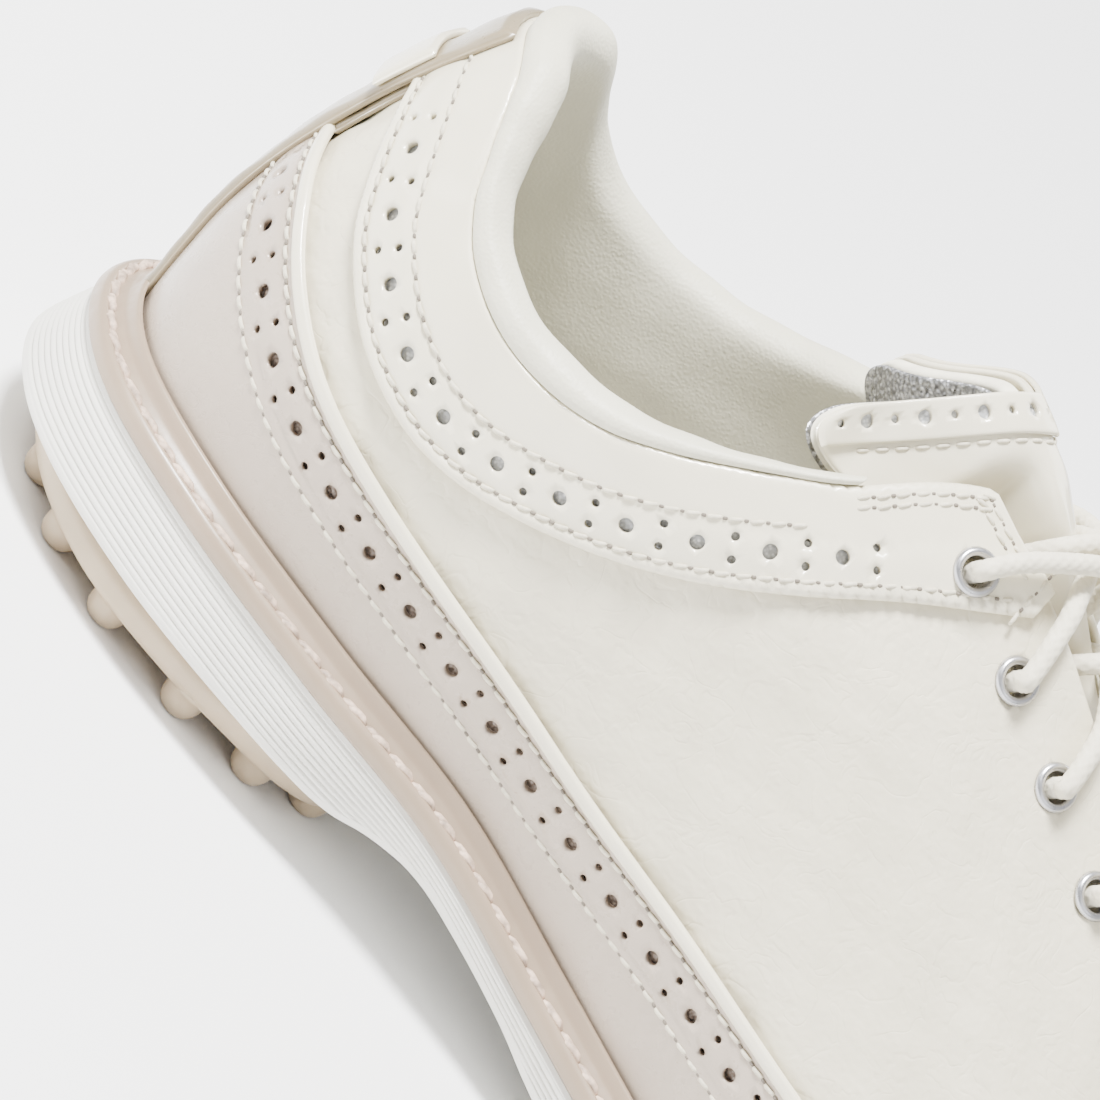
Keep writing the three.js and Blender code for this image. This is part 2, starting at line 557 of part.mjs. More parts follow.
const upThrough = (s) => [skin(s.k, s.v, UNDER + 0.5), skin(s.k, s.v, s.face + 1.6)];
// Both loose ends go down the lateral lining and lie forward along the sockliner, the second beside the first.
const FLOOR = 2 * GAP + BOARD + SOCK + LACE_D / 2 + 0.4;
const BESIDE = -(LEATHER + 2 * GAP + LINING + LACE_D / 2 + 0.9);
function downAndForward(k, first, end, inboard) {
  const wall = first.map((v) => skin(COUNT - k, v, mix(BESIDE, UNDER, v * v)));
  const turn = atHeight(COUNT - k - 0.2, FLOOR + 2, BESIDE - 1 - inboard * 0.6);
  const run = steps(k + 0.4, end, 8).map((kk) => atHeight(COUNT - kk, FLOOR, BESIDE - 1.5 - inboard));
  return [...wall, turn, ...run];
}
// The medial end crosses the tongue above the other strands and goes in below the lateral facing.
function medialEnd(from) {
  const out = from.face + 3.5;
  const lay = [[111.3, -15, out], [114.9, -10.3, out + 0.2], [118.7, -4.9, out + 0.3], [121.6, 0.05, 4.4],
    [123.8, 4.8, 0.8], [124.9, 9.9, UNDER], [122.6, 14.8, UNDER], [121.8, 20, UNDER]];
  return [skin(from.k, from.v, out - 0.3), ...lay.map(([x, y, off]) => over(x, y, off)),
    ...downAndForward(5.12, [0.72, 0.55, 0.38, 0.24], 7.3, 0)];
}
// The lateral end turns over the edge of its own facing.
function lateralEnd(from) {
  const out = from.face + 3.5;
  const lay = [[112, 15, out], [115.4, 11, out - 0.8], [117.2, 8.8, 1.8], [117.4, 8.4, -2.2],
    [118, 10.8, UNDER], [118.2, 15.5, UNDER], [116.8, 21, UNDER]];
  return [skin(from.k, from.v, out - 0.3), ...lay.map(([x, y, off]) => over(x, y, off)),
    ...downAndForward(4.85, [0.72, 0.55, 0.38, 0.22], 6.7, 5)];
}
// A round lace along a hand-laid route, closed at both ends.
function cordSolid(route, r, sides = 6) {
  const tangent = (i) => route[Math.min(i + 1, route.length - 1)].clone()
    .sub(route[Math.max(i - 1, 0)]).normalize();
  let up = new THREE.Vector3(0, 0.3, 1).cross(tangent(0)).normalize();
  const rings = route.map((p, i) => {
    const t = tangent(i);
    up = up.clone().addScaledVector(t, -up.dot(t)).normalize();
    const w = t.clone().cross(up);
    return steps(0, 1, sides).slice(0, sides).map((u) => p.clone()
      .addScaledVector(up, r * Math.cos(2 * Math.PI * u)).addScaledVector(w, r * Math.sin(2 * Math.PI * u)));
  });
  const points = [];
  for (let i = 0; i < rings.length - 1; i++) {
    for (let j = 0; j < sides; j++) {
      const m = (j + 1) % sides;
      points.push(rings[i][j], rings[i][m], rings[i + 1][m], rings[i][j], rings[i + 1][m], rings[i + 1][j]);
    }
  }
  const [first, last] = [rings[0], rings[rings.length - 1]];
  for (let j = 0; j < sides; j++) {
    const m = (j + 1) % sides;
    points.push(route[0], first[m], first[j], route[route.length - 1], last[j], last[m]);
  }
  return solidOf(new THREE.BufferGeometry().setFromPoints(points));
}

// ---------- assembly ----------
const BEHIND = -(LEATHER + 2 * GAP); // the first face inside the base leather
const WALL = 0.5; // clearance of the bottom layers from the lining
const collarFoot = (k) => {
  const v = topV(k);
  const lowest = foot(k, v).z + mix(0.6, 1, rollSize(k)) * ROLL[ROLL.length - 1][1];
  return rise(k, (p) => p.z - lowest + 1.2, 0.05, v);
};
const liningTop = (k) => (bySide(k) < ROLL_END + 0.05 ? collarFoot(k) : topV(k));

add("outsole_heel", heelOutsole(), COLOUR.rubber, { roughness: 0.5 });
add("outsole_forefoot", forefootOutsole(), COLOUR.rubber, { roughness: 0.5 });

// The steel shank lies in a pocket in the top of the midsole and follows its slope.
const BED = steps(0, HALF, 44).map((k) => [foot(k, 0).x, bedZ(k)]);
const shankBand = (down, up, longer, wider) => {
  const xs = steps(66 - longer, 150 + longer, 16);
  const plan = [[66 - longer, 0], [74, -8 - wider], [108, -7 - wider], [142, -8 - wider], [150 + longer, 0],
    [142, 8 + wider], [108, 7 + wider], [74, 8 + wider]];
  return column(plan, 0, 40).intersect(band(xs.map((x) => [x, valueAt(BED, x) - down]),
    xs.map((x) => [x, valueAt(BED, x) + up])));
};
add("shank", shankBand(GAP + SHANK, -GAP, 0, 0), COLOUR.metal, { roughness: 0.4, metalness: 0.9 });
add("midsole", midsole().subtract(shankBand(2 * GAP + SHANK, 6, 0.6, 0.5)), COLOUR.midsole, { roughness: 0.7 });
add("welt", welt(), COLOUR.welt, { roughness: 0.45 });

const boardEdge = (z0, z1) => (k, level) => {
  const h = [z0, z1][level];
  return atHeight(k, h, liningOff(k) - LINING - WALL);
};
add("insole_board", plate(boardEdge(GAP, GAP + BOARD), 2, 34, 2), COLOUR.board, { roughness: 0.85 });
const SOCK_LOW = 2 * GAP + BOARD;
add("sockliner", plate(boardEdge(SOCK_LOW, SOCK_LOW + SOCK), 2, 34, 2), COLOUR.sock, { roughness: 0.9 });

add("vamp", cap({ k0: SEAM_K + 0.02, low: LOW_V, outside: 0, inside: -LEATHER, cols: 8 }), COLOUR.quarter);
add("lining_vamp", cap({ k0: SEAM_K + 0.02, low: LOW_V, cols: 8,
  outside: liningOff, inside: (k) => liningOff(k) - LINING }), COLOUR.lining);
add("toe_puff", cap({ k0: 9.3, low: LOW_V, cols: 8, outside: BEHIND, inside: BEHIND - STIFFENER }),
  COLOUR.board);
add("heel_counter", panel({ k0: -2.7, k1: 2.7, low: 0.06, high: 0.34, outside: BEHIND,
  inside: BEHIND - STIFFENER, cols: 3 }), COLOUR.board);

// The toe cap is cut to a winged edge that peaks on the middle of the vamp.
const WING_EDGE = [[228, -60], [228, -37], [240, -30], [248, -22], [250, -14], [246, -7], [237, -2], [246, 3],
  [249, 10], [246, 18], [237, 26], [225, 33], [225, 60]];
const wingCut = new THREE.ExtrudeGeometry(new THREE.Shape([[150, -60], ...WING_EDGE, [150, 60]]
  .map(([x, y]) => new THREE.Vector2(x, y))), { depth: 60, bevelEnabled: false }).translate(0, 0, 36);
add("toe_wing", cap({ k0: CAP_K + 0.02, low: LAP_V, outside: OVERLAY + LAP, inside: LAP, cols: 8 })
  .subtract(solidOf(wingCut)), COLOUR.foxing, { roughness: 0.5 });

add("collar_lining", rollSkin(ROLL, ROLL_INNER, ROLL_END), COLOUR.lining, { roughness: 0.75 });
add("collar_foam", rollSkin(FOAM, FOAM_INNER, FOAM_END), COLOUR.foam, { roughness: 1 });

// The backstay widens upwards over the heel seam, and a plain tab is stitched on it.
function strip(low, high, halfWide, outside, inside, cols) {
  const across = steps(-1, 1, 6);
  const grid = (off) => across.map((u) => steps(low, high, cols).map((v) => skin(u * halfWide(v), v, off)));
  return solidOf(shell(grid(outside), grid(inside)));
}
const STAY_OUT = OVERLAY + 2 * LAP;
add("backstay", strip(0.09, topV(0) - 0.005, (v) => mix(0.2, 0.48, v / topV(0)), STAY_OUT + 1, STAY_OUT, 6),
  COLOUR.stay, { roughness: 0.35 });
add("heel_tab", strip(0.57, 0.69, () => 0.42, STAY_OUT + 1 + LAP + 0.9, STAY_OUT + 1 + LAP, 2), COLOUR.strap);

for (const [name, s] of [["medial", 1], ["lateral", -1]]) {
  const span = (a, b) => (s > 0 ? { k0: a, k1: b } : { k0: -b, k1: -a });
  add(`quarter_${name}`, punched(panel({ ...span(0.02, SEAM_K), low: LOW_V, high: topV, outside: 0,
    inside: -LEATHER, cols: 8 }), -s), COLOUR.quarter);
  add(`foxing_${name}`, panel({ ...span(0.02, CAP_K), low: LAP_V, high: foxingV, outside: OVERLAY + LAP,
    inside: LAP + 0.2, cols: 4 }), COLOUR.foxing, { roughness: 0.5 });
  add(`collar_strap_${name}`, punched(panel({ ...span(0.02, 5.05), low: strapV, high: topV,
    outside: OVERLAY + LAP, inside: LAP, cols: 5 }), -s), COLOUR.strap, { roughness: 0.3 });
  add(`lining_${name}`, punched(panel({ ...span(0.02, SEAM_K), low: LOW_V, high: liningTop,
    outside: liningOff, inside: (k) => liningOff(k) - LINING, cols: 8 }), -s), COLOUR.lining);
}

const base = { a0: FLAP_PART + 0.014, a1: 1, rows: 10, half: 4 };
const flap = { a0: 0, a1: FLAP_PART, rows: 2, half: 6 };
const padIn = -(TONGUE_LEATHER + LAP);
const padOut = padIn - TONGUE_PAD;
for (const [name, part] of [["base", base], ["flap", flap]]) {
  add(`tongue_${name}`, tongueSkin({ ...part, from: 0, to: -TONGUE_LEATHER }), COLOUR.cream, { roughness: 0.3 });
  add(`tongue_${name}_pad`, tongueSkin({ ...part, from: padIn, to: padOut }), COLOUR.foam);
  add(`tongue_${name}_lining`, tongueSkin({ ...part, from: padOut - LAP, to: padOut - LAP - 0.8 }),
    COLOUR.silver, { roughness: 0.4, metalness: 0.6 });
}

add("tongue_trim", tongueSkin({ a0: 0, a1: TRIM_PART, rows: 2, half: 6, from: LAP + 0.8, to: LAP }),
  COLOUR.cream, { roughness: 0.3 });

for (const s of SPOTS) {
  add(`eyelet_${s.side < 0 ? "medial" : "lateral"}_${s.i + 1}`, eyelet(s), COLOUR.metal,
    { roughness: 0.3, metalness: 0.9 });
}

// The lace starts at its middle, as the bar over the lowest eyelets, and its halves zigzag up to the top.
function laceHalf(side) {
  const start = spot(side, EYELETS - 1);
  const route = [over(start.x, side * 0.4, crestTongue(start.x) + 7.5)];
  route.push(...[4.8, 0, UNDER + 0.5].map((off) => skin(start.k, start.v, off)));
  let from = start;
  for (let i = EYELETS - 2; i >= 0; i--) {
    const to = spot(-from.side, i);
    route.push(...strand(from, to, (i % 2 === 0) === (side > 0)), ...upThrough(to));
    from = to;
  }
  return [...route, ...(from.side < 0 ? medialEnd(from) : lateralEnd(from))];
}
for (const [name, side] of [["medial", -1], ["lateral", 1]]) {
  const route = laceHalf(side);
  add(`lace_${name}`, cordSolid(route, LACE_D / 2), COLOUR.lace, { roughness: 0.8 });
  const [before, end] = route.slice(-2);
  const ahead = end.clone().sub(before).normalize();
  const tip = [GAP, 0.6 + GAP, 12 + GAP, 13 + GAP].map((d) => end.clone().addScaledVector(ahead, d));
  add(`aglet_${name}`, cordSolid(tip, LACE_D / 2 - 0.1), COLOUR.lace, { roughness: 0.3 });
}

// The origin lies on the ground under the middle of the shoe.
const box = new THREE.Box3().setFromObject(group);
group.position.set(-(box.min.x + box.max.x) / 2, -(box.min.y + box.max.y) / 2, -box.min.z);

export default group;
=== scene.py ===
"""A left golf shoe in pearl and cream leather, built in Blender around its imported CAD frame.

Lengths are millimetres in the shoe's own drawing frame: x from the heel to the toe, y towards the
lateral side, z up from the ground. put() turns them into metres in the row frame.
"""

import math

import bmesh
import bpy
import numpy as np
from mathutils import Matrix, Vector
from mathutils.geometry import delaunay_2d_cdt


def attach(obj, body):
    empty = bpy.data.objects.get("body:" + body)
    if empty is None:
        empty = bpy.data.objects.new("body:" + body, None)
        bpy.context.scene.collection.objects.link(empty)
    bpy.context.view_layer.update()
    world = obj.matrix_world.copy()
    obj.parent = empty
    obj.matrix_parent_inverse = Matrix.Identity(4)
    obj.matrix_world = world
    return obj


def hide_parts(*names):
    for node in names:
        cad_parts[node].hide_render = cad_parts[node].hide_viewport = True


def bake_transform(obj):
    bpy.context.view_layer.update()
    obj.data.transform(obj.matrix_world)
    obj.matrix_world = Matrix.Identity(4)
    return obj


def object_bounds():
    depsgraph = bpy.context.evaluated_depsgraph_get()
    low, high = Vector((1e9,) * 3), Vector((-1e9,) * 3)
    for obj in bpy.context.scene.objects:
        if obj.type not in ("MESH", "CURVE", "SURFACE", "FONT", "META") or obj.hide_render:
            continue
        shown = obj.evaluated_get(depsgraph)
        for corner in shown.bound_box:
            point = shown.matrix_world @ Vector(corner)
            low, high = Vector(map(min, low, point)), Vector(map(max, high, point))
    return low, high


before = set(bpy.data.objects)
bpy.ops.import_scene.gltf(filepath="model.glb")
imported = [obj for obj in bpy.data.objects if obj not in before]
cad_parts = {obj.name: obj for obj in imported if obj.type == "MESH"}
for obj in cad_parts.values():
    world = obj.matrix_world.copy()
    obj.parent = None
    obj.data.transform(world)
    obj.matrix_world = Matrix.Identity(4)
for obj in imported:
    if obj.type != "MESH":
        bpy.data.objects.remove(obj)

cad_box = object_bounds()
BODY, TOP = "shoe", "tongue_top"

# The drawing frame starts at the heel; the row frame at the middle of the CAD box.
SOLE_BEHIND, OFF_MIDDLE = 6.5, -0.431
ORIGIN = np.array([cad_box[0].x * 1000 + SOLE_BEHIND, OFF_MIDDLE, 0.0])

# ---------- camera, lights, floor ----------
LOOK_AT = Vector((-0.0797, -0.0304, 0.0603))
ELEVATION, ROLL = math.radians(20), math.radians(51)
DISTANCE, FRAME_WIDE = 2.0, 0.1594


def make_camera():
    data = bpy.data.cameras.new("camera")
    data.sensor_width = 36
    data.lens = data.sensor_width * DISTANCE / FRAME_WIDE
    data.clip_start, data.clip_end = 0.05, 50
    cam = bpy.data.objects.new("camera", data)
    bpy.context.scene.collection.objects.link(cam)
    back = Vector((0, -math.cos(ELEVATION), math.sin(ELEVATION)))
    level_up = Vector((0, math.sin(ELEVATION), math.cos(ELEVATION)))
    level_right = Vector((1, 0, 0))
    right = level_right * math.cos(ROLL) + level_up * math.sin(ROLL)
    up = level_up * math.cos(ROLL) - level_right * math.sin(ROLL)
    turn = Matrix((right, up, back)).transposed()
    cam.matrix_world = Matrix.Translation(LOOK_AT + back * DISTANCE) @ turn.to_4x4()
    bpy.context.scene.camera = cam


def area_light(name, at, size, watts, towards=(0, 0, 0.06), colour=(1, 1, 1)):
    data = bpy.data.lights.new(name, "AREA")
    data.shape = "RECTANGLE"
    data.size, data.size_y = size
    data.energy = watts
    data.color = colour
    lamp = bpy.data.objects.new(name, data)
    bpy.context.scene.collection.objects.link(lamp)
    lamp.location = at
    lamp.rotation_mode = "QUATERNION"
    aim = Vector(towards) - Vector(at)
    lamp.rotation_quaternion = aim.to_track_quat("-Z", "Y")


make_camera()
area_light("key", (-0.55, -0.3, 1.1), (0.3, 0.3), 68)
area_light("side", (-1.1, -0.6, 0.6), (0.3, 0.8), 4)
area_light("front", (0.9, -1.0, 0.8), (0.9, 0.9), 7)
area_light("back", (0.2, 1.2, 0.9), (1.2, 0.8), 16)

world = bpy.data.worlds.new("studio")
bpy.context.scene.world = world
world.use_nodes = True
world.node_tree.nodes["Background"].inputs[0].default_value = (1, 1, 1, 1)
world.node_tree.nodes["Background"].inputs[1].default_value = 0.93


# ---------- materials ----------
class Paint:
    """A Principled material and short ways to add the nodes that feed it."""

    def __init__(self, name, colour, roughness=0.5, metallic=0.0, coat=0.0, coat_roughness=0.1):
        self.material = bpy.data.materials.new(name)
        self.material.use_nodes = True
        self.tree = self.material.node_tree
        self.shader = self.tree.nodes["Principled BSDF"]
        self.set("Base Color", (*colour, 1))
        self.set("Roughness", roughness)
        self.set("Metallic", metallic)
        self.set("Coat Weight", coat)
        self.set("Coat Roughness", coat_roughness)
        self.place = self.node("ShaderNodeTexCoord").outputs["Object"]
        self.height = None
        self.own = colour

    def set(self, socket, value):
        self.shader.inputs[socket].default_value = value

    def node(self, kind, **inputs):
        made = self.tree.nodes.new(kind)
        for key, value in inputs.items():
            self.feed(made.inputs[key], value)
        return made

    def feed(self, socket, value):
        if isinstance(value, bpy.types.NodeSocket):
            self.tree.links.new(value, socket)
        else:
            socket.default_value = value

    def noise(self, per_metre, detail=3.0, roughness=0.55, distortion=0.0, at=None):
        made = self.node("ShaderNodeTexNoise", Scale=per_metre, Detail=detail,
                         Roughness=roughness, Distortion=distortion)
        self.feed(made.inputs["Vector"], at or self.place)
        return made.outputs["Fac"]

    def cells(self, per_metre, feature="F1", at=None):
        made = self.tree.nodes.new("ShaderNodeTexVoronoi")
        made.feature = feature
        made.inputs["Scale"].default_value = per_metre
        self.feed(made.inputs["Vector"], at or self.place)
        return made.outputs["Distance"]

    def stretched(self, scale):
        made = self.tree.nodes.new("ShaderNodeMapping")
        self.feed(made.inputs["Vector"], self.place)
        made.inputs["Scale"].default_value = scale
        return made.outputs["Vector"]

    def ramp(self, source, *stops):
        made = self.tree.nodes.new("ShaderNodeValToRGB")
        while len(made.color_ramp.elements) < len(stops):
            made.color_ramp.elements.new(0.5)
        for element, (at, colour) in zip(made.color_ramp.elements, stops):
            element.position = at
            element.color = (*colour, 1) if hasattr(colour, "__len__") else (colour,) * 3 + (1,)
        self.feed(made.inputs["Fac"], source)
        return made.outputs["Color"]

    def colour(self, source, *stops):
        self.feed(self.shader.inputs["Base Color"], self.ramp(source, *stops))
        return self

    def varied(self, per_metre, low=0.95, high=1.03):
        """The material's own colour, a little darker and lighter from place to place."""
        return self.colour(self.noise(per_metre), (0.35, shade(self.own, low)), (0.65, shade(self.own, high)))

    def rough(self, source, low, high):
        self.feed(self.shader.inputs["Roughness"], self.ramp(source, (0.3, low), (0.7, high)))
        return self

    def bump(self, source, distance, strength=1.0):
        made = self.node("ShaderNodeBump", Strength=strength, Distance=distance, Height=source)
        if self.height:
            self.feed(made.inputs["Normal"], self.height)
        self.height = made.outputs["Normal"]
        self.feed(self.shader.inputs["Normal"], self.height)
        return self


def shade(colour, by):
    return tuple(min(1, c * by) for c in colour)


def soft_leather():
    """Milled leather: pebbles of about a millimetre and longer soft creases."""
    p = Paint("soft_leather", (0.69, 0.635, 0.485), 0.42, coat=0.12, coat_roughness=0.35)
    p.varied(40)
    p.bump(p.noise(170, 2, at=p.stretched((0.6, 1, 1.5))), 0.0007, 0.55)
    p.bump(p.ramp(p.noise(150, 2, distortion=0.8), (0.46, 1), (0.5, 0), (0.54, 1)), 0.00014, 0.35)
    p.bump(p.ramp(p.cells(900, "SMOOTH_F1"), (0.15, 1), (0.75, 0)), 0.00011, 0.5)
    p.bump(p.noise(2600, 2), 0.00004, 0.35)
    return p.rough(p.noise(700), 0.36, 0.5).material


def patent_leather():
    """Cream leather under a clear gloss, with faint scuffs and a slow ripple."""
    p = Paint("patent_leather", (0.735, 0.68, 0.525), 0.34, coat=0.75, coat_roughness=0.07)
    p.varied(50, 0.97)
    p.bump(p.noise(130, 2), 0.0004, 0.22)
    p.bump(p.noise(1500, 2), 0.00003, 0.3)
    return p.rough(p.noise(260, 5), 0.28, 0.42).material


def pearl_leather():
    """Smooth pinkish-grey leather with a pearl finish."""
    p = Paint("pearl_leather", (0.42, 0.345, 0.275), 0.3, metallic=0.05, coat=0.35, coat_roughness=0.16)
    p.varied(22, 0.96, 1.06)
    p.bump(p.noise(90, 2), 0.0005, 0.35)
    p.bump(p.ramp(p.noise(240, 4, distortion=1.6), (0.47, 1), (0.5, 0), (0.53, 1)), 0.00006, 0.35)
    p.bump(p.noise(2400, 2), 0.00002, 0.35)
    return p.rough(p.noise(300), 0.24, 0.36).material


def stay_leather():
    p = Paint("stay_leather", (0.23, 0.185, 0.115), 0.3, coat=0.55, coat_roughness=0.12)
    p.varied(50)
    p.bump(p.noise(160, 3), 0.0004, 0.35)
    return p.rough(p.noise(400), 0.25, 0.4).material


def lining_leather():
    """Fine-grained lining, a little grey-green."""
    p = Paint("lining_leather", (0.62, 0.595, 0.47), 0.5)
    p.varied(60)
    p.bump(p.ramp(p.cells(1900, "SMOOTH_F1"), (0.1, 1), (0.7, 0)), 0.00008, 0.6)
    p.bump(p.noise(110, 2), 0.0006, 0.3)
    return p.rough(p.noise(800), 0.44, 0.58).material


def welt_leather():
    p = Paint("welt_leather", (0.29, 0.215, 0.15), 0.4, coat=0.3, coat_roughness=0.2)
    p.varied(80)
    p.bump(p.noise(300, 3), 0.0002, 0.35)
    return p.rough(p.noise(500), 0.34, 0.5).material


def midsole_foam():
    p = Paint("midsole_foam", (0.72, 0.705, 0.65), 0.55)
    p.varied(70, 0.97, 1.02)
    p.bump(p.noise(1800, 2), 0.00005, 0.5)
    return p.rough(p.noise(300), 0.5, 0.62).material


def sole_rubber():
    p = Paint("sole_rubber", (0.43, 0.335, 0.225), 0.38, coat=0.15, coat_roughness=0.25)
    p.varied(70, 0.93, 1.05)
    p.set("Subsurface Weight", 0.25)
    p.set("Subsurface Radius", (0.004, 0.003, 0.002))
    p.bump(p.noise(900, 3), 0.00008, 0.5)
    return p.rough(p.noise(350), 0.32, 0.46).material


def silver_lining():
    """Crinkled metallic leather."""
    p = Paint("silver_lining", (0.4, 0.4, 0.41), 0.35, metallic=0.75)
    p.colour(p.cells(1500), (0.1, (0.62, 0.62, 0.64)), (0.6, (0.26, 0.26, 0.27)))
    p.bump(p.cells(1100), 0.0004, 0.9)
    return p.rough(p.noise(900), 0.25, 0.5).material


def bright_backing():
    """Silver paper seen through the holes of the strap."""
    p = Paint("bright_backing", (0.5, 0.5, 0.51), 0.4, metallic=0.35)
    p.colour(p.cells(1700), (0.1, (0.72, 0.73, 0.75)), (0.6, (0.4, 0.41, 0.43)))
    p.bump(p.cells(1300), 0.0002, 0.7)
    return p.rough(p.noise(900), 0.35, 0.55).material


def dark_backing():
    p = Paint("dark_backing", (0.2, 0.16, 0.13), 0.5, metallic=0.4)
    p.colour(p.cells(1600), (0.1, (0.52, 0.44, 0.38)), (0.6, (0.2, 0.155, 0.125)))
    p.bump(p.cells(1300), 0.0003, 0.8)
    return p.rough(p.noise(900), 0.35, 0.6).material


def thread(name, colour, per_metre=900, low=0.88, high=1.08):
    p = Paint(name, colour, 0.62).varied(per_metre, low, high)
    p.bump(p.noise(3000, 2), 0.00008, 0.6)
    return p.rough(p.noise(2000), 0.5, 0.72).material


def satin_metal():
    p = Paint("satin_metal", (0.5, 0.5, 0.52), 0.3, metallic=1.0).varied(400, 0.94, 1.04)
    p.bump(p.noise(3500, 2), 0.00001, 0.3)
    return p.rough(p.noise(900), 0.24, 0.38).material


def lace_weave():
    p = Paint("lace_weave", (0.70, 0.65, 0.515), 0.7)
    p.varied(500, 0.93, 1.04)
    p.set("Sheen Weight", 0.15)
    p.bump(p.noise(3200, 2), 0.00006, 0.6)
    return p.rough(p.noise(1500), 0.62, 0.78).material


def plain_paint(name, colour, roughness, grain, metallic=0.0):
    p = Paint(name, colour, roughness, metallic=metallic).varied(grain / 8, 0.9, 1.06)
    p.bump(p.noise(grain, 3), 0.0001, 0.6)
    return p.rough(p.noise(grain / 2), roughness * 0.85, min(1, roughness * 1.12)).material


def floor_paint():
    return Paint("floor", (0.95, 0.95, 0.95), 0.7).varied(3, 0.995, 1.0).material


SOFT, PATENT, PEARL, STAY = soft_leather(), patent_leather(), pearl_leather(), stay_leather()
LININGS, WELT, MIDSOLE, RUBBER = lining_leather(), welt_leather(), midsole_foam(), sole_rubber()
SILVER, DARK, METAL, LACE = silver_lining(), dark_backing(), satin_metal(), lace_weave()
BRIGHT = bright_backing()
# Dark brown dots at the needle holes between stitches: painted shade for the shadow in those small gaps.
NEEDLE_SHADE = plain_paint("needle_hole_shade", (0.17, 0.145, 0.115), 0.8, 1600)
CREAM_THREAD = thread("cream_thread", (0.64, 0.59, 0.46))
# The welt thread's colour swings far from dark to light in random patches: partly its own brown and cream tone,
# partly painted shade and light for the shading between the rope's strands.
WELT_THREAD = thread("welt_thread", (0.46, 0.34, 0.26), 500, 0.55, 1.5)
BOARD = plain_paint("fibre_board", (0.55, 0.43, 0.29), 0.8, 1600)
FOAM = plain_paint("padding_foam", (0.78, 0.74, 0.6), 0.9, 2400)
STEEL = plain_paint("shank_steel", (0.5, 0.5, 0.52), 0.35, 900, 1.0)
SOCK = plain_paint("sock_cloth", (0.70, 0.68, 0.61), 0.88, 2600)

# ---------- the shape of the foot ----------
LEATHER, OVERLAY, LINING, STIFFENER = 1.3, 1.2, 0.9, 1.3
GAP, LAP = 0.3, 0.7
LEVELS = 5
EYELETS = 6

# Stations up the outside of the foot, as in the CAD: feather, low, middle, high, crest.
MEDIAL = [
    [[4, 0, 22.3], [0.2, 0, 48], [1.4, 0, 70], [6, 0, 92], [15, 0, 118]],
    [[12, -21, 22.5], [6, -22, 48], [7.5, -20.5, 70], [12, -17.5, 91], [20, -12, 117]],
    [[33, -31, 22.7], [29, -36, 48], [28.5, -34, 68], [30, -30, 88], [36, -22, 116]],
    [[61, -32.5, 21.8], [60, -38.5, 47], [59, -38, 67], [60, -35, 88], [62, -18, 118]],
    [[90, -30.5, 20.6], [90, -37, 45], [90, -37.5, 67], [89, -31, 93], [88, 0, 123]],
    [[120, -30, 15.2], [121, -37, 40], [121, -37.5, 62], [121, -29, 88], [116, 0, 114]],
    [[155, -36.5, 11.5], [156, -42.5, 34], [156, -41, 53], [156, -30, 74], [152, 0, 97]],
    [[195, -45.5, 10.9], [196, -48.5, 30], [196, -45, 45], [195, -31, 61], [190, -1, 79.5]],
    [[231, -48, 11.6], [233, -50, 29], [233, -45, 41], [231, -31, 53], [222, -3, 67]],
    [[263, -41, 13.4], [267, -42, 28], [266, -38, 38], [260, -26, 47.5], [246, -5, 58]],
    [[286, -27, 15.6], [292, -27, 28], [289, -25, 38], [278, -18, 45.5], [257, -6, 54.5]],
]
TOE = [[293, -7, 16.6], [299, -7, 28.5], [295, -7, 38], [282, -7, 45.5], [260, -7, 53.5]]
LATERAL = [
    [[12, 21, 22.5], [6, 22, 48], [7.5, 20.5, 70], [12, 17.5, 91], [20, 12, 117]],
    [[33, 31, 22.7], [29, 36, 48], [28.5, 34, 67], [30, 30, 87], [36, 22, 116]],
    [[61, 33.5, 21.8], [60, 39, 46], [59, 38, 66], [60, 35, 87], [62, 18, 118]],
    [[90, 34, 20.6], [90, 39, 44], [90, 38, 65], [89, 31, 92], [88, 0, 123]],
    [[120, 37, 15.2], [121, 41, 38], [121, 39, 60], [121, 29, 86], [116, 0, 114]],
    [[155, 44, 11.5], [156, 46.5, 32], [156, 43.5, 50], [156, 30, 72], [152, 0, 97]],
    [[193, 49, 10.9], [194, 50, 28], [194, 46, 43], [194, 31, 59], [190, -1, 79.5]],
    [[226, 43, 11.6], [228, 44, 27], [228, 40, 39], [228, 27, 51], [222, -3, 67]],
    [[258, 31, 13.4], [262, 33, 27], [261, 30, 37], [256, 19, 46.5], [246, -5, 58]],
    [[282, 14, 15.6], [287, 15, 27.5], [284, 14, 37], [274, 7, 45], [257, -6, 54.5]],
]
TOPLINE = [[8, 99], [13, 97.5], [19, 89.5], [24, 83.5], [32, 79], [44, 77.3], [57, 80], [68, 86],
           [80, 94.5], [88, 100.5], [94, 107], [99, 111], [104, 113.5], [108, 115]]
STRAP_EDGE = [[-2, 88], [5, 80], [10, 73], [16, 66.5], [27, 60.5], [38, 58], [47, 58], [57, 60.6],
              [72, 68], [85, 77.3], [96, 87], [106.5, 96.2], [117.6, 104], [124, 107.6], [134, 112]]
FOXING_EDGE = [[-2, 70], [6, 64], [16, 57.5], [30, 52.3], [49, 49.3], [75, 47], [102, 44],
               [127, 43], [153, 42], [180, 41.5], [205, 43], [224, 47], [238, 52], [252, 57.5]]
THROAT_EDGE = [[96, 12.5], [109, 12.2], [117, 10.6], [125, 9.4], [141, 8.2], [157, 7.8],
               [173, 7.4], [189, 7.2], [203, 6.6]]
EYELET_ROW = [[109, 18.8], [125.4, 18.2], [141, 17.2], [157, 16.2], [173, 15.2], [189, 14.2]]
MIDSOLE_LOW = [[-8, 9.6], [60, 9.5], [76, 9.7], [84, 11.8], [93, 13], [104, 11.6], [117, 9.2],
               [128, 6.6], [140, 5.8], [200, 5.7], [235, 6.4], [262, 8.4], [285, 11], [306, 14]]
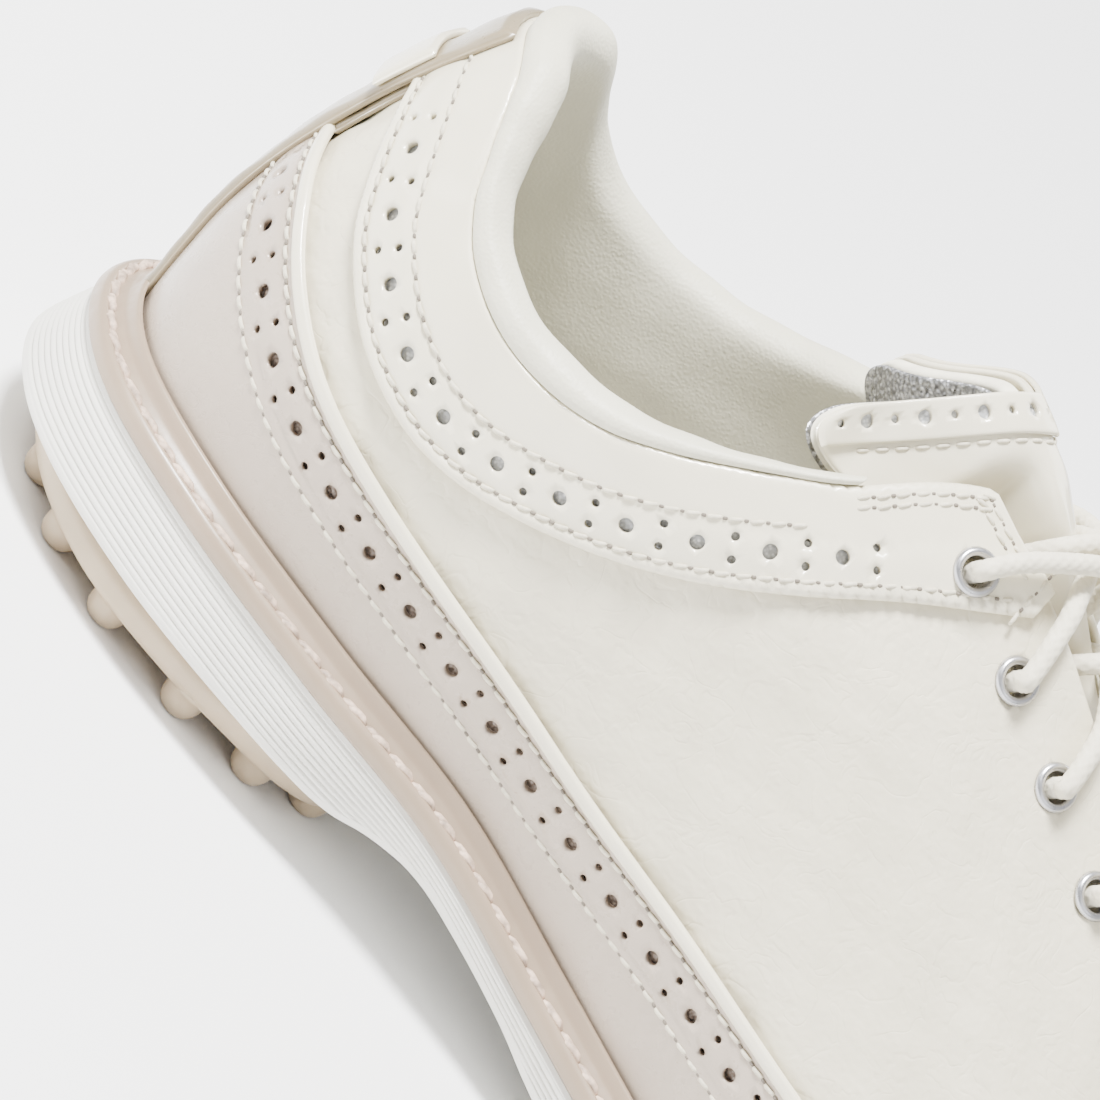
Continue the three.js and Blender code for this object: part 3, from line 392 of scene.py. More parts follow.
MIDSOLE_FLARE = [[0, 10.5], [1.6, 11], [3, 9], [4, 4.5], [5, 5.6], [6.5, 7.6], [11, 7.8]]

STATIONS = np.array([*MEDIAL, TOE, *LATERAL[::-1]], float)
COUNT = len(STATIONS)
HALF = len(MEDIAL)


def catmull(a, b, c, d, u):
    return 0.5 * (2 * b + (c - a) * u + (2 * a - 5 * b + 4 * c - d) * u**2 + (3 * b - a - 3 * c + d) * u**3)


def along(rows, u, closed=False):
    """Points of a smooth curve through rows, at u counted in rows."""
    rows, u = np.asarray(rows, float), np.asarray(u, float)
    n = len(rows)
    i = np.floor(u).astype(int)
    if not closed:
        i = np.clip(i, 0, n - 2)

    def at(k):
        return rows[k % n] if closed else rows[np.clip(k, 0, n - 1)]

    t = (u - i).reshape(u.shape + (1,) * (rows.ndim - 1))
    return catmull(at(i - 1), at(i), at(i + 1), at(i + 2), t)


def smooth_line(line, steps=6):
    return along(line, np.arange((len(line) - 1) * steps + 1) / steps)


def value_at(line, x):
    return np.interp(x, line[:, 0], line[:, 1])


TOP_LINE, STRAP_LOW = smooth_line(TOPLINE), smooth_line(STRAP_EDGE)
FOXING_TOP, THROAT = smooth_line(FOXING_EDGE), smooth_line(THROAT_EDGE)
LOW, FLARE = smooth_line(MIDSOLE_LOW), smooth_line(MIDSOLE_FLARE)


def by_side(k):
    turn = np.mod(k, COUNT)
    return np.where(turn > HALF, COUNT - turn, turn)


def foot(k, v):
    """The outside of the base leather. k counts stations and v runs from the feather edge to the crest."""
    k, v = np.broadcast_arrays(np.asarray(k, float), np.asarray(v, float))
    levels = along(STATIONS, k, True)
    beyond = along(STATIONS[:, LEVELS - 2], COUNT - k, True)[..., None, :]
    levels = np.concatenate([levels, beyond], -2)
    u = v * (LEVELS - 1)
    i = np.clip(np.floor(u).astype(int), 0, LEVELS - 2)

    def at(n):
        n = np.clip(n, 0, LEVELS)
        return np.take_along_axis(levels, n[..., None, None], -2)[..., 0, :]

    return catmull(at(i - 1), at(i), at(i + 1), at(i + 2), (u - i)[..., None])


def unit(v):
    return v / np.maximum(np.linalg.norm(v, axis=-1, keepdims=True), 1e-12)


def slopes(k, v):
    """How the foot moves with k and with v."""
    k, v = np.broadcast_arrays(np.asarray(k, float), np.asarray(v, float))
    e = 0.01
    va = np.clip(v, 0.005, np.where(by_side(k) > 9, 0.985, 1.0))
    dk = (foot(k + 4 * e, va) - foot(k - 4 * e, va)) / (8 * e)
    dv = (foot(k, va + e) - foot(k, va - e)) / (2 * e)
    return dk, dv


def foot_normal(k, v):
    return unit(np.cross(*slopes(k, v)))


def skin(k, v, off):
    return foot(k, v) + foot_normal(k, v) * np.asarray(off, float)[..., None]


def rise(k, test, start=0.02, end=1.0, steps=90):
    """The v at which a test of the point changes sign, going up from start."""
    k = np.atleast_1d(np.asarray(k, float))
    start = np.broadcast_to(start, k.shape)
    end = np.broadcast_to(end, k.shape)
    grid = start[:, None] + (end - start)[:, None] * np.linspace(0, 1, steps + 1)[None]
    over = test(foot(k[:, None], grid)) > 0
    over[:, 0] = False
    first = np.where(over.any(1), over.argmax(1), steps)
    rows = np.arange(len(k))
    lo, hi = grid[rows, first - 1], grid[rows, first]
    for _ in range(22):
        mid = (lo + hi) / 2
        up = test(foot(k, mid)) > 0
        hi, lo = np.where(up, mid, hi), np.where(up, lo, mid)
    return np.where(over.any(1), (lo + hi) / 2, end)


K_TABLE = np.arange(-HALF, HALF + 0.01, 0.04)


def tabled(values):
    return lambda k: np.interp(np.where(np.asarray(k) > HALF, np.asarray(k) - COUNT, k), K_TABLE, values)


def above(line):
    """A test for rise: how far a point is above a line drawn from the side."""
    return lambda p: p[..., 2] - value_at(line, p[..., 0])


def level(z):
    """A test for rise: how far a point is above the height given for its station."""
    return lambda p: p[..., 2] - (z[:, None] if p.ndim == 3 else z)


COLLAR_END_X, THROAT_START_X = 106, 98
top_v = tabled(np.minimum(
    rise(K_TABLE, lambda p: np.where(p[..., 0] < COLLAR_END_X, above(TOP_LINE)(p), -1)),
    rise(K_TABLE, lambda p: np.where(
        p[..., 0] > THROAT_START_X, value_at(THROAT, p[..., 0]) - abs(p[..., 1]), -1))))
strap_v = tabled(rise(K_TABLE, above(STRAP_LOW)))
foxing_v = tabled(rise(K_TABLE, above(FOXING_TOP)))


def ease(x, a, b):
    u = np.clip((np.asarray(x, float) - a) / (b - a), 0, 1)
    return u * u * (3 - 2 * u)


def mix(a, b, u):
    return a + (b - a) * u


def mm_per_v(k, v):
    return np.linalg.norm(slopes(k, v)[1], axis=-1)


def waves(p, *sizes):
    """Slow ripples of the leather, from summed sines of the place."""
    total = 0
    for n, size in enumerate(sizes):
        a, b, c = [(1.3, 0.4, 0.9), (-0.5, 1.1, 1.2), (0.8, -0.9, 0.7), (0.3, 1.2, -1.0)][n % 4]
        s = 2 * np.pi / size
        total = total + np.sin(s * (a * p[..., 0] + b * p[..., 1] + c * p[..., 2]) + n) / (n + 1)
    return total


# ---------- meshes ----------
def put(points):
    return (np.asarray(points, float).reshape(-1, 3) + ORIGIN) * 0.001


def piece(name, points, faces, material, body=BODY, replaces=(), slot=None, smooth=True):
    """A named mesh of the shoe from points in millimetres."""
    mesh = bpy.data.meshes.new(name)
    mesh.from_pydata(put(points).tolist(), [], faces)
    mesh.validate()
    work = bmesh.new()
    work.from_mesh(mesh)
    bmesh.ops.recalc_face_normals(work, faces=work.faces)
    work.to_mesh(mesh)
    work.free()
    mesh.polygons.foreach_set("use_smooth", [smooth] * len(mesh.polygons))
    mesh.materials.append(material)
    mesh.update()
    made = bpy.data.objects.new(name, mesh)
    bpy.context.scene.collection.objects.link(made)
    if body:
        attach(made, body)
    if replaces:
        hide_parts(*replaces)
    return made


def grid_faces(rows, cols, start=0, closed_rows=False, closed_cols=False):
    faces = []
    for i in range(rows if closed_rows else rows - 1):
        n = (i + 1) % rows
        for j in range(cols if closed_cols else cols - 1):
            m = (j + 1) % cols
            faces.append((start + i * cols + j, start + n * cols + j, start + n * cols + m, start + i * cols + m))
    return faces


def slab(outer, inner):
    """Points and faces of a closed sheet between two grids of the same size."""
    rows, cols = outer.shape[:2]
    n = rows * cols
    faces = grid_faces(rows, cols)
    faces += [f[::-1] for f in grid_faces(rows, cols, n)]
    rim = [(0, j) for j in range(cols)] + [(i, cols - 1) for i in range(1, rows)]
    rim += [(rows - 1, j) for j in range(cols - 2, -1, -1)] + [(i, 0) for i in range(rows - 2, 0, -1)]
    for (i, j), (p, q) in zip(rim, rim[1:] + rim[:1]):
        a, b = i * cols + j, p * cols + q
        faces.append((a, b, b + n, a + n))
    return np.concatenate([outer.reshape(-1, 3), inner.reshape(-1, 3)]), faces


RIM = [0, 0.18, 0.45, 0.85, 1.35]  # rows close to an edge, in millimetres


def edge_round(d, reach=0.8):
    """How full the leather is at a distance from its edge: 0 on the edge, 1 past the rounding."""
    u = np.clip(np.asarray(d, float) / reach, 0, 1)
    return np.sqrt(np.maximum(0, 1 - (1 - u) ** 2))


def edge_sine(ks, v):
    """The sine of the angle between an edge of a panel and the direction up the foot."""
    edge = unit(np.gradient(foot(ks, v), axis=0))
    up = unit(slopes(ks, v)[1])
    return np.maximum(0.3, np.linalg.norm(np.cross(edge, up), axis=-1))


def v_rows(k, low, high, spacing, rows_low=None, rows_high=None):
    """Rows of v from low to high, close together near both edges. Returns v and the distance to each edge."""
    rows_low, rows_high = rows_low or RIM, rows_high or RIM
    scale = mm_per_v(k, (low + high) / 2)
    s_low, s_high = edge_sine(k, low), edge_sine(k, high)
    tall = (high - low) * scale
    room = rows_low[-1] / s_low + rows_high[-1] / s_high
    fit = np.minimum(1, 0.94 * tall / room)
    first = [d * fit / s_low for d in rows_low]
    last = [tall - d * fit / s_high for d in rows_high]
    inner = max(2, int(np.ceil((tall - room).max() / spacing)))
    between = [mix(first[-1], last[-1], u) for u in np.linspace(0, 1, inner + 1)[1:-1]]
    up = np.array([*first, *between, *last[::-1]]).T
    return low[:, None] + up / scale[:, None], up * s_low[:, None], (tall[:, None] - up) * s_high[:, None]


def k_rows(k0, k1, step=0.05):
    n = int(math.ceil((k1 - k0) / step))
    body = np.linspace(k0, k1, n + 1)
    near = np.array([0.006, 0.016, 0.03])
    return np.unique(np.concatenate([body, k0 + near, k1 - near]))


def end_distance(ks, v):
    """The distance along the foot from the two ends of a row of stations."""
    run = length_of(foot(ks, v))
    return np.minimum(run, run[-1] - run)


def leather(name, k0, k1, low, high, outside, inside, material, spacing=2.0, step=0.05,
            shape=None, ends=True, **known):
    """A sheet of leather with rounded edges. shape adds to the outer face's offset at each point."""
    ks = k_rows(k0, k1, step)
    lows, highs = low(ks) if callable(low) else np.full(len(ks), low), high(ks)
    v, up, down = v_rows(ks, lows, highs, spacing)
    k = np.broadcast_to(ks[:, None], v.shape)
    near = np.minimum(up, down)
    if ends:
        near = np.minimum(near, end_distance(ks, np.clip((lows + highs) / 2, 0, 1))[:, None])
    full = edge_round(near, 0.9)
    out = outside(k, v) if callable(outside) else np.full(v.shape, float(outside))
    inn = inside(k, v) if callable(inside) else np.full(v.shape, float(inside))
    half = (out + inn) / 2
    if shape:
        out = out + shape(foot(k, v), up, down, k, v)
    outer = skin(k, v, mix(half, out, full))
    inner = skin(k, v, mix(half, inn, full))
    points, faces = slab(outer, inner)
    return piece(name, points, faces, material, **known)


# ---------- stitches, holes and cords ----------
def walk(k, v, towards, distance, steps=8):
    """Moves points over the foot by a distance, along a direction given in space at each point."""
    k, v = np.array(k, float), np.array(v, float)
    for _ in range(steps):
        dk, dv = slopes(k, v)
        n = unit(np.cross(dk, dv))
        d = towards - n * np.sum(towards * n, -1, keepdims=True)
        d = unit(d) * (distance / steps)
        kk, vv, kv = (dk * dk).sum(-1), (dv * dv).sum(-1), (dk * dv).sum(-1)
        det = kk * vv - kv * kv
        dk_d, dv_d = (dk * d).sum(-1), (dv * d).sum(-1)
        k = k + (dk_d * vv - dv_d * kv) / det
        v = v + (dv_d * kk - dk_d * kv) / det
    return k, v


def beside(k, v, distance):
    """A line on the foot at a distance from another, towards the crest if positive."""
    p = foot(k, v)
    t = unit(np.gradient(p, axis=0))
    n = foot_normal(k, v)
    side = unit(np.cross(t, n))
    up = slopes(k, v)[1]
    side = side * np.sign((side * up).sum(-1, keepdims=True))
    return walk(k, v, side, distance)


def length_of(points):
    return np.concatenate([[0], np.cumsum(np.linalg.norm(np.diff(points, axis=0), axis=1))])


def on_line(k, v, at):
    """The k and v at distances along a line on the foot."""
    run = length_of(foot(k, v))
    return np.interp(at, run, k), np.interp(at, run, v)


def capsules(centres, tangents, normals, length, radius, sink=0.25, sides=7):
    """Stitches: short rods that arch out of the leather and go back in at both ends."""
    across = np.cross(normals, tangents)
    stations = [(-0.5, -1.5, 0.5), (-0.44, -0.6, 0.85), (-0.25, 0.0, 1), (0, 0.12, 1.0),
                (0.25, 0.0, 1), (0.44, -0.6, 0.85), (0.5, -1.5, 0.5)]
    turns = np.arange(sides) * 2 * np.pi / sides
    points, faces = [], []
    ring_count = len(stations)
    for c, t, n, s in zip(centres, tangents, normals, across):
        start = len(points)
        for along_t, up, wide in stations:
            middle = c + t * along_t * length + n * (up * radius + radius * (1 - 2 * sink))
            for a in turns:
                points.append(middle + (n * math.sin(a) * 0.85 + s * math.cos(a)) * radius * wide)
        faces += grid_faces(ring_count, sides, start, closed_cols=True)
        last = start + (ring_count - 1) * sides
        faces.append(tuple(start + j for j in range(sides)))
        faces.append(tuple(last + j for j in reversed(range(sides))))
    return np.array(points), faces


# Dark dots at the needle holes: painted shade for the shadow in the gaps between stitches.
needle_shade_marks = []
STITCH_PITCH, STITCH_LONG, STITCH_R = 3.0, 2.35, 0.33
# Radius and sinking of the dark dots of painted shade at the needle holes.
NEEDLE_R, NEEDLE_SINK = 0.27, 0.42


def frames_on(k, v, at, off):
    """Places at distances along a line on the foot, with the line's direction and the foot's normal."""
    kc, vc = on_line(k, v, at)
    ahead, behind = foot(*on_line(k, v, at + 0.4)), foot(*on_line(k, v, at - 0.4))
    return skin(kc, vc, np.full(len(kc), off)), unit(ahead - behind), foot_normal(kc, vc)


def seam(k, v, off, slant=0.12):
    """A row of stitches along a line on the foot, at an offset from it. Its dark dots at the needle holes, painted
    shade for the gaps between stitches, go to needle_shade_marks.
    """
    run = length_of(foot(k, v))[-1]
    count = max(1, int(run / STITCH_PITCH))
    holes = frames_on(k, v, np.arange(1, count) * run / count, off)
    needle_shade_marks.append(capsules(*holes, STITCH_PITCH - STITCH_LONG + 0.25, NEEDLE_R, NEEDLE_SINK, 6))
    centres, t, n = frames_on(k, v, (np.arange(count) + 0.5) * run / count, off)
    return capsules(centres, unit(t + np.cross(n, t) * slant), n, STITCH_LONG, STITCH_R)


def circle(e1, e2, radius, sides):
    a = np.arange(sides) * 2 * np.pi / sides
    return radius * (np.cos(a)[:, None] * e1 + np.sin(a)[:, None] * e2)


def ring_on(a, b, da, db, radius, sides):
    """A round hole's rim on a surface, in the surface's measures a and b. da and db are its slopes there."""
    e1 = unit(da)
    d = circle(e1, unit(np.cross(unit(np.cross(da, db)), e1)), radius, sides)
    aa, bb, ab = da @ da, db @ db, da @ db
    det = aa * bb - ab * ab
    return np.stack([a + ((d @ da) * bb - (d @ db) * ab) / det, b + ((d @ db) * aa - (d @ da) * ab) / det], 1)


def hole_ring(k, v, radius, sides):
    return ring_on(k, v, *slopes(k, v), radius, sides)


def clear_of(points, middles):
    """Which points keep out of the way of holes, given as middles and radii."""
    clear = np.ones(len(points), bool)
    for middle, radius in middles:
        clear &= np.linalg.norm(points - middle, axis=1) > radius + 0.3
    return clear


K_MM, V_MM = 26.0, 90.0  # about how far a station and the whole height reach


def punched_sheet(border, inside_points, holes, offsets, flat=(K_MM, V_MM), faces_at=None):
    """A closed sheet with round holes. border and holes are loops of (k, v); offsets gives both faces from the
    foot, or faces_at gives the points of both faces."""
    flat = np.array(flat)
    loops = [np.asarray(border)] + [np.asarray(h) for h in holes]
    points = np.concatenate([*loops, np.asarray(inside_points)])
    polygons, start = [], 0
    for loop in loops:
        polygons.append(list(range(start, start + len(loop))))
        start += len(loop)
    edges = [(p[i], p[(i + 1) % len(p)]) for p in polygons for i in range(len(p))]
    made = delaunay_2d_cdt([Vector(q) for q in (points * flat).tolist()], edges, [], 1, 1e-7)
    spots = np.array([list(q) for q in made[0]]) / flat
    of_loop = {}
    for index, sources in enumerate(made[3]):
        for source in sources:
            for n, p in enumerate(polygons[1:]):
                if p[0] <= source <= p[-1]:
                    of_loop[index] = n
    tris = []
    for f in made[2]:
        owners = {of_loop.get(i, -1 - n) for n, i in enumerate(f)}
        if len(owners) > 1:
            tris.append(tuple(f))
    if faces_at:
        outer, inner = faces_at(spots[:, 0], spots[:, 1])
    else:
        out, inn = offsets(spots[:, 0], spots[:, 1])
        outer, inner = skin(spots[:, 0], spots[:, 1], out), skin(spots[:, 0], spots[:, 1], inn)
    a, b, c = max(tris[:200], key=lambda t: min(np.linalg.norm(outer[t[i]] - outer[t[i - 1]]) for i in range(3)))
    facing = np.cross(outer[b] - outer[a], outer[c] - outer[a]) @ (outer[a] - inner[a])
    if facing < 0:
        tris = [t[::-1] for t in tris]
    n = len(spots)
    seen = {}
    for t in tris:
        for i in range(3):
            seen[(t[i], t[(i + 1) % 3])] = True
    walls = [(j, i, i + n, j + n) for (i, j) in seen if (j, i) not in seen]
    return np.concatenate([outer, inner]), tris + [tuple(i + n for i in reversed(t)) for t in tris] + walls


def frames_along(path):
    tangent = unit(np.gradient(path, axis=0))
    up = np.cross(np.cross(tangent[0], (0, 0.3, 1)), tangent[0])
    ups = []
    for t in tangent:
        up = unit(up - t * (up @ t))
        ups.append(up)
    return tangent, np.array(ups)


def tube(path, radius, sides=20, bumps=None):
    """A closed round cord along a path. bumps gives the radius factor at each length and turn."""
    tangent, up = frames_along(path)
    side = np.cross(tangent, up)
    a = np.arange(sides) * 2 * np.pi / sides
    run = length_of(path)
    r = radius * (bumps(run[:, None], a[None]) if bumps else np.ones((len(path), sides)))
    round_it = np.cos(a)[None, :, None] * up[:, None] + np.sin(a)[None, :, None] * side[:, None]
    rings = path[:, None] + r[..., None] * round_it
    points = rings.reshape(-1, 3)
    n = len(path)
    faces = [f[::-1] for f in grid_faces(n, sides, closed_cols=True)]
    faces.append(tuple(range(sides)))
    faces.append(tuple(reversed(range((n - 1) * sides, n * sides))))
    return points, faces


def resampled(path, spacing):
    run = length_of(path)
    at = np.linspace(0, run[-1], max(2, int(run[-1] / spacing)) + 1)
    return np.stack([np.interp(at, run, path[:, c]) for c in range(3)], 1)


def merged(*parts):
    points, faces, start = [], [], 0
    for p, f in parts:
        points.append(np.asarray(p).reshape(-1, 3))
        faces += [tuple(i + start for i in face) for face in f]
        start += len(points[-1])
    return np.concatenate(points), faces


# The sign of k on each side. Eyelets and lace go by the sign of y, which is the opposite one.
SIDES = {"medial": 1, "lateral": -1}


def span(sign, a, b):
    return (a, b) if sign > 0 else (-b, -a)


# ---------- quarters and vamp ----------
SEAM_K, CAP_K, LOW_V, LAP_V = 7.2, 8, 0.015, 0.05
EYELET_HOLE_R, EYELET_FLANGE_R = 2.35, 3.75


def creases(p, up, down, k, v):
    calm = edge_round(np.minimum(up, down), 4)
    return calm * (0.16 * waves(p, 23, 14) + 0.07 * waves(p, 8.5, 6.1))


SOFT_OUT = OVERLAY + LAP  # the outer face of the overlays, from the foot
for side, sign in SIDES.items():
    k0, k1 = span(sign, 0.02, SEAM_K)
    leather(f"upper_quarter_{side}", k0, k1, LOW_V, top_v, 0, -LEATHER, SOFT, 1.4, 0.045, creases,
            replaces=(f"quarter_{side}",), slot="soft_leather")


# ---------- perforated overlays ----------
HOLE_LARGE, HOLE_SMALL, PAIR_APART = 1.15, 0.65, 1.65
HOLE_STEP = 5.15


def hollow(d, at, wide, deep):
    return -deep * np.exp(-(((d - at) / wide) ** 2))


def centre_line(sign, edge, distance, k_from, k_to, count=240):
    """A line on the foot at a distance from a panel's edge, from the heel forwards."""
    k = np.linspace(k_from, k_to, count) * sign
    return beside(k, edge(k), distance)


def perforations(k, v, first, last, begins_large, step=HOLE_STEP):
    """Rings of alternate large holes and small pairs along a line, and their middles."""
    n = int(round((last - first) / step))
    rings, middles = [], []
    for i, at in enumerate(np.linspace(first, last, n + 1)):
        kc, vc = (float(q) for q in on_line(k, v, at))
        if (i % 2 == 0) == begins_large:
            rings.append(hole_ring(kc, vc, HOLE_LARGE, 20))
            middles.append((foot(kc, vc), HOLE_LARGE))
        else:
            ahead = foot(*on_line(k, v, at + 1)) - foot(*on_line(k, v, at - 1))
            n_here = foot_normal(kc, vc)
            across = unit(np.cross(unit(ahead), n_here))
            for way in (1, -1):
                kk, vv = walk(np.array([kc]), np.array([vc]), across[None] * way, PAIR_APART, 3)
                rings.append(hole_ring(float(kk[0]), float(vv[0]), HOLE_SMALL, 14))
                middles.append((foot(kk[0], vv[0]), HOLE_SMALL))
    return rings, middles


def perforated(name, k0, k1, low, high, shape, rings, middles, material, rows_low, rows_high, spacing,
               **known):
    """A panel with rounded edges, holes and a shape of its own, punched from a flat sheet of k and v."""
    ks = k_rows(k0, k1, 0.05)
    lows = low(ks) if callable(low) else np.full(len(ks), low)
    highs = high(ks)
    v = v_rows(ks, lows, highs, spacing, rows_low, rows_high)[0]
    border = [(ks[i], v[i, 0]) for i in range(len(ks))]
    border += [(ks[-1], q) for q in v[-1, 1:]]
    border += [(ks[i], v[i, -1]) for i in range(len(ks) - 2, -1, -1)]
    border += [(ks[0], q) for q in v[0, -2:0:-1]]
    inside = np.stack([np.broadcast_to(ks[:, None], v.shape), v], -1)[1:-1, 1:-1].reshape(-1, 2)
    clear = clear_of(foot(inside[:, 0], inside[:, 1]), middles)
    low_sin, high_sin = edge_sine(ks, lows), edge_sine(ks, highs)

    def offsets(k, w):
        lo, hi = np.interp(k, ks, lows), np.interp(k, ks, highs)
        scale = mm_per_v(k, w)
        up_mm = (w - lo) * scale * np.interp(k, ks, low_sin)
        down_mm = (hi - w) * scale * np.interp(k, ks, high_sin)
        ends = np.minimum(abs(k - k0), abs(k - k1)) * np.linalg.norm(slopes(k, w)[0], axis=-1)
        full = edge_round(np.minimum(np.minimum(up_mm, down_mm), ends), 0.95)
        out = SOFT_OUT + shape(foot(k, w), up_mm, down_mm)
        return mix((SOFT_OUT + LAP) / 2, out, full), mix((SOFT_OUT + LAP) / 2, LAP, full)

    points, faces = punched_sheet(border, inside[clear], rings, offsets)
    return piece(name, points, faces, material, **known)


def strap_shape(p, up, down):
    rolled = 0.45 * np.exp(-(((up - 0.9) / 0.7) ** 2))
    rows = hollow(up, STRAP_ROW_LOW, 0.38, 0.28) + hollow(up, STRAP_ROW_HIGH, 0.4, 0.22)
    pillow = 0.22 * np.sin(np.pi * np.clip((up - STRAP_ROW_LOW) / (STRAP_ROW_HIGH - STRAP_ROW_LOW), 0, 1))
    return rolled + rows + pillow + 0.07 * waves(p, 19, 11)


def foxing_shape(p, up, down):
    rows = hollow(down, FOXING_ROW_HIGH, 0.38, 0.26) + hollow(down, FOXING_ROW_LOW, 0.38, 0.26)
    between = (down - FOXING_ROW_HIGH) / (FOXING_ROW_LOW - FOXING_ROW_HIGH)
    pillow = 0.2 * np.sin(np.pi * np.clip(between, 0, 1))
    return rows + pillow + 0.06 * waves(p, 27, 15)


STRAP_ROW_LOW, STRAP_ROW_HIGH, STRAP_HOLES = 2.1, 9.9, 5.9
FOXING_ROW_HIGH, FOXING_ROW_LOW, FOXING_HOLES = 2.8, 10.9, 6.7
STRAP_RIM = [*RIM, 1.75, 2.1, 2.45, 2.9, 4, 5, 6, 7, 8, 8.8, 9.4, 9.9, 10.4, 11]
FOXING_RIM = [*RIM, 1.9, 2.4, 2.8, 3.2, 3.7, 4.6, 5.6, 6.6, 7.6, 8.6, 9.6, 10.3, 10.9, 11.4, 12]
STRAP_K = 5.05
STRAP_HOLES_X, STRAP_HOLE_STEPS = [9.3, 98.6], 22
STRAP_BAND, FOXING_BAND = (3.2, 8.7), (-9.6, -3.6)  # where sheets lie behind the holes, from the panel's edge
FACING_ROWS = (-1.8, -3.3)
STITCH_OFF = SOFT_OUT - 0.08  # stitches are sunk a little into the overlays
stitches = []


def stitch(sign, edge, distance, k_from, k_to, count=240):
    """A row of stitches at a distance from a panel's edge."""
    stitches.append(seam(*centre_line(sign, edge, distance, k_from, k_to, count), STITCH_OFF))


def backing_sheet(name, sign, low, high, offs, material, slot):
    """A thin sheet behind a band of holes, between two lines on the foot."""
    grids = []
    for off in offs:
        rows = [skin(mix(low[0], high[0], u), mix(low[1], high[1], u), off) for u in np.linspace(0, 1, 6)]
        grids.append(np.stack(rows, 1)[::sign])
    piece(name, *slab(*grids), material, slot=slot)


def strap(side, sign):
    """The glossy overlay round the top, the sheet behind its holes, and its stitches."""
    k, v = centre_line(sign, strap_v, STRAP_HOLES, 0.1, 4.9)
    p = foot(k, v)
    first, last = np.interp(STRAP_HOLES_X, p[:, 0], length_of(p))
    rings, middles = perforations(k, v, first, last, False, (last - first) / STRAP_HOLE_STEPS)
    perforated(f"upper_strap_{side}", *span(sign, 0.02, STRAP_K), strap_v, top_v, strap_shape, rings, middles,
               PATENT, STRAP_RIM, RIM, 1.6, replaces=(f"collar_strap_{side}",), slot="cream_leather")
    low, high = (centre_line(sign, strap_v, d, 0.1, 4.55) for d in STRAP_BAND)
    backing_sheet(f"strap_backing_{side}", sign, low, high, (0.32, 0.12), BRIGHT, "silver_lining")
    stitch(sign, strap_v, STRAP_ROW_LOW, 0.14, 4.97)
    stitch(sign, strap_v, STRAP_ROW_HIGH, 0.14, 4.22)
    for distance in FACING_ROWS:
        stitch(sign, top_v, distance, 3.98, STRAP_K - 0.12)
    front = np.full(60, (STRAP_K - 0.075) * sign)
    front_v = np.linspace(float(strap_v(STRAP_K)) + 0.05, float(top_v(STRAP_K)) - 0.06, 60)
    stitches.append(seam(front, front_v, STITCH_OFF))


def by_foxing_edge(distance):
    """The line at a distance above the foxing's top edge, as v by k."""
    return lambda k: foxing_v(k) + distance / (mm_per_v(k, foxing_v(k)) * edge_sine(k, foxing_v(k)))


def foxing(side, sign):
    """The low overlay, the sheet behind its holes, its folded edge and its stitches."""
    k0, k1 = span(sign, 0.02, CAP_K)
    k, v = centre_line(sign, foxing_v, -FOXING_HOLES, 0.12, 7.85, 400)
    rings, middles = perforations(k, v, 2.2, length_of(foot(k, v))[-1] - 2, True)
    perforated(f"upper_foxing_{side}", k0, k1, LAP_V, foxing_v, foxing_shape, rings, middles, PEARL,
               RIM, FOXING_RIM, 1.9, replaces=(f"foxing_{side}",), slot="pearl_leather")
    low, high = (centre_line(sign, foxing_v, d, 0.12, 7.9, 300) for d in FOXING_BAND)
    backing_sheet(f"foxing_backing_{side}", sign, low, high, (0.35, 0.15), DARK, "pearl_leather")
    for distance in (FOXING_ROW_HIGH, FOXING_ROW_LOW):
        stitch(sign, foxing_v, -distance, 0.14, 7.95, 400)
    leather(f"foxing_edge_{side}", k0, k1, by_foxing_edge(-1.9), by_foxing_edge(0.25), SOFT_OUT + 0.6, LAP,
            PATENT, 0.4, slot="cream_leather")


for side, sign in SIDES.items():
    strap(side, sign)
    foxing(side, sign)
piece("upper_stitches", *merged(*stitches), CREAM_THREAD, slot="cream_leather")
# The dark dots between the stitches: painted shade for the shadow at the needle holes.
piece("needle_hole_shade", *merged(*needle_shade_marks), NEEDLE_SHADE, slot="cream_leather")


# ---------- collar and linings ----------
def lining_off(k, v=None):
    side = by_side(k)
    heel = 1 - ease(side, 2.9, 3.7)
    toe = ease(side, 8.4, 9.1)
    return -(LEATHER + 2 * GAP) - (STIFFENER + GAP) * np.maximum(heel, toe)


ROLL = [[1.75, 0.12], [2.35, 1.6], [1.9, 3.6], [-0.4, 5.3], [-3, 5.4], [-5.6, 3.6], [-6.6, 0], [-6.9, -7],
        [-6.4, -15], [-5.2, -24], [-4.3, -31]]
ROLL_INNER = [[0.9, 0.12], [1.1, 1.9], [0.9, 3.4], [-0.8, 4.5], [-2.9, 4.5], [-4.9, 3.1], [-5.7, 0],
              [-6, -7], [-5.5, -15], [-4.4, -23.6], [-4.3, -31]]
ROLL_END, PAD_BACK = 4, -2.2


def roll_size(k):
    return 1 - 0.55 * ease(by_side(k), 2.6, 4)


def roll_point(ks, v, n, t, size):
    out = np.where(n < PAD_BACK, PAD_BACK + (n - PAD_BACK) * size, n)
    if t > 0:
        up = unit(foot(ks, v) - foot(ks, v - 0.02))
        return skin(ks, v, out) + up * (t * size)[:, None]
    drop = mix(0.6, 1, size) * t
    z = foot(ks, v)[:, 2] + drop
    return skin(ks, v if t > -0.01 else rise(ks, level(z), 0.05, v, 60), out)


def roll_grid(ks, profile, count):
    v, size = top_v(ks), roll_size(ks)
    fine = along(profile, np.linspace(0, len(profile) - 1, count))
    return np.stack([roll_point(ks, v, n, t, size) for n, t in fine], 1)


ks = k_rows(-ROLL_END, ROLL_END, 0.05)
outer, inner = roll_grid(ks, ROLL, 52), roll_grid(ks, ROLL_INNER, 52)
outer = outer + unit(outer - inner + 1e-6) * (0.12 * waves(outer, 17, 12))[..., None]
collar = piece("collar_roll", *slab(outer, inner), LININGS, replaces=("collar_lining",), slot="lining_leather")


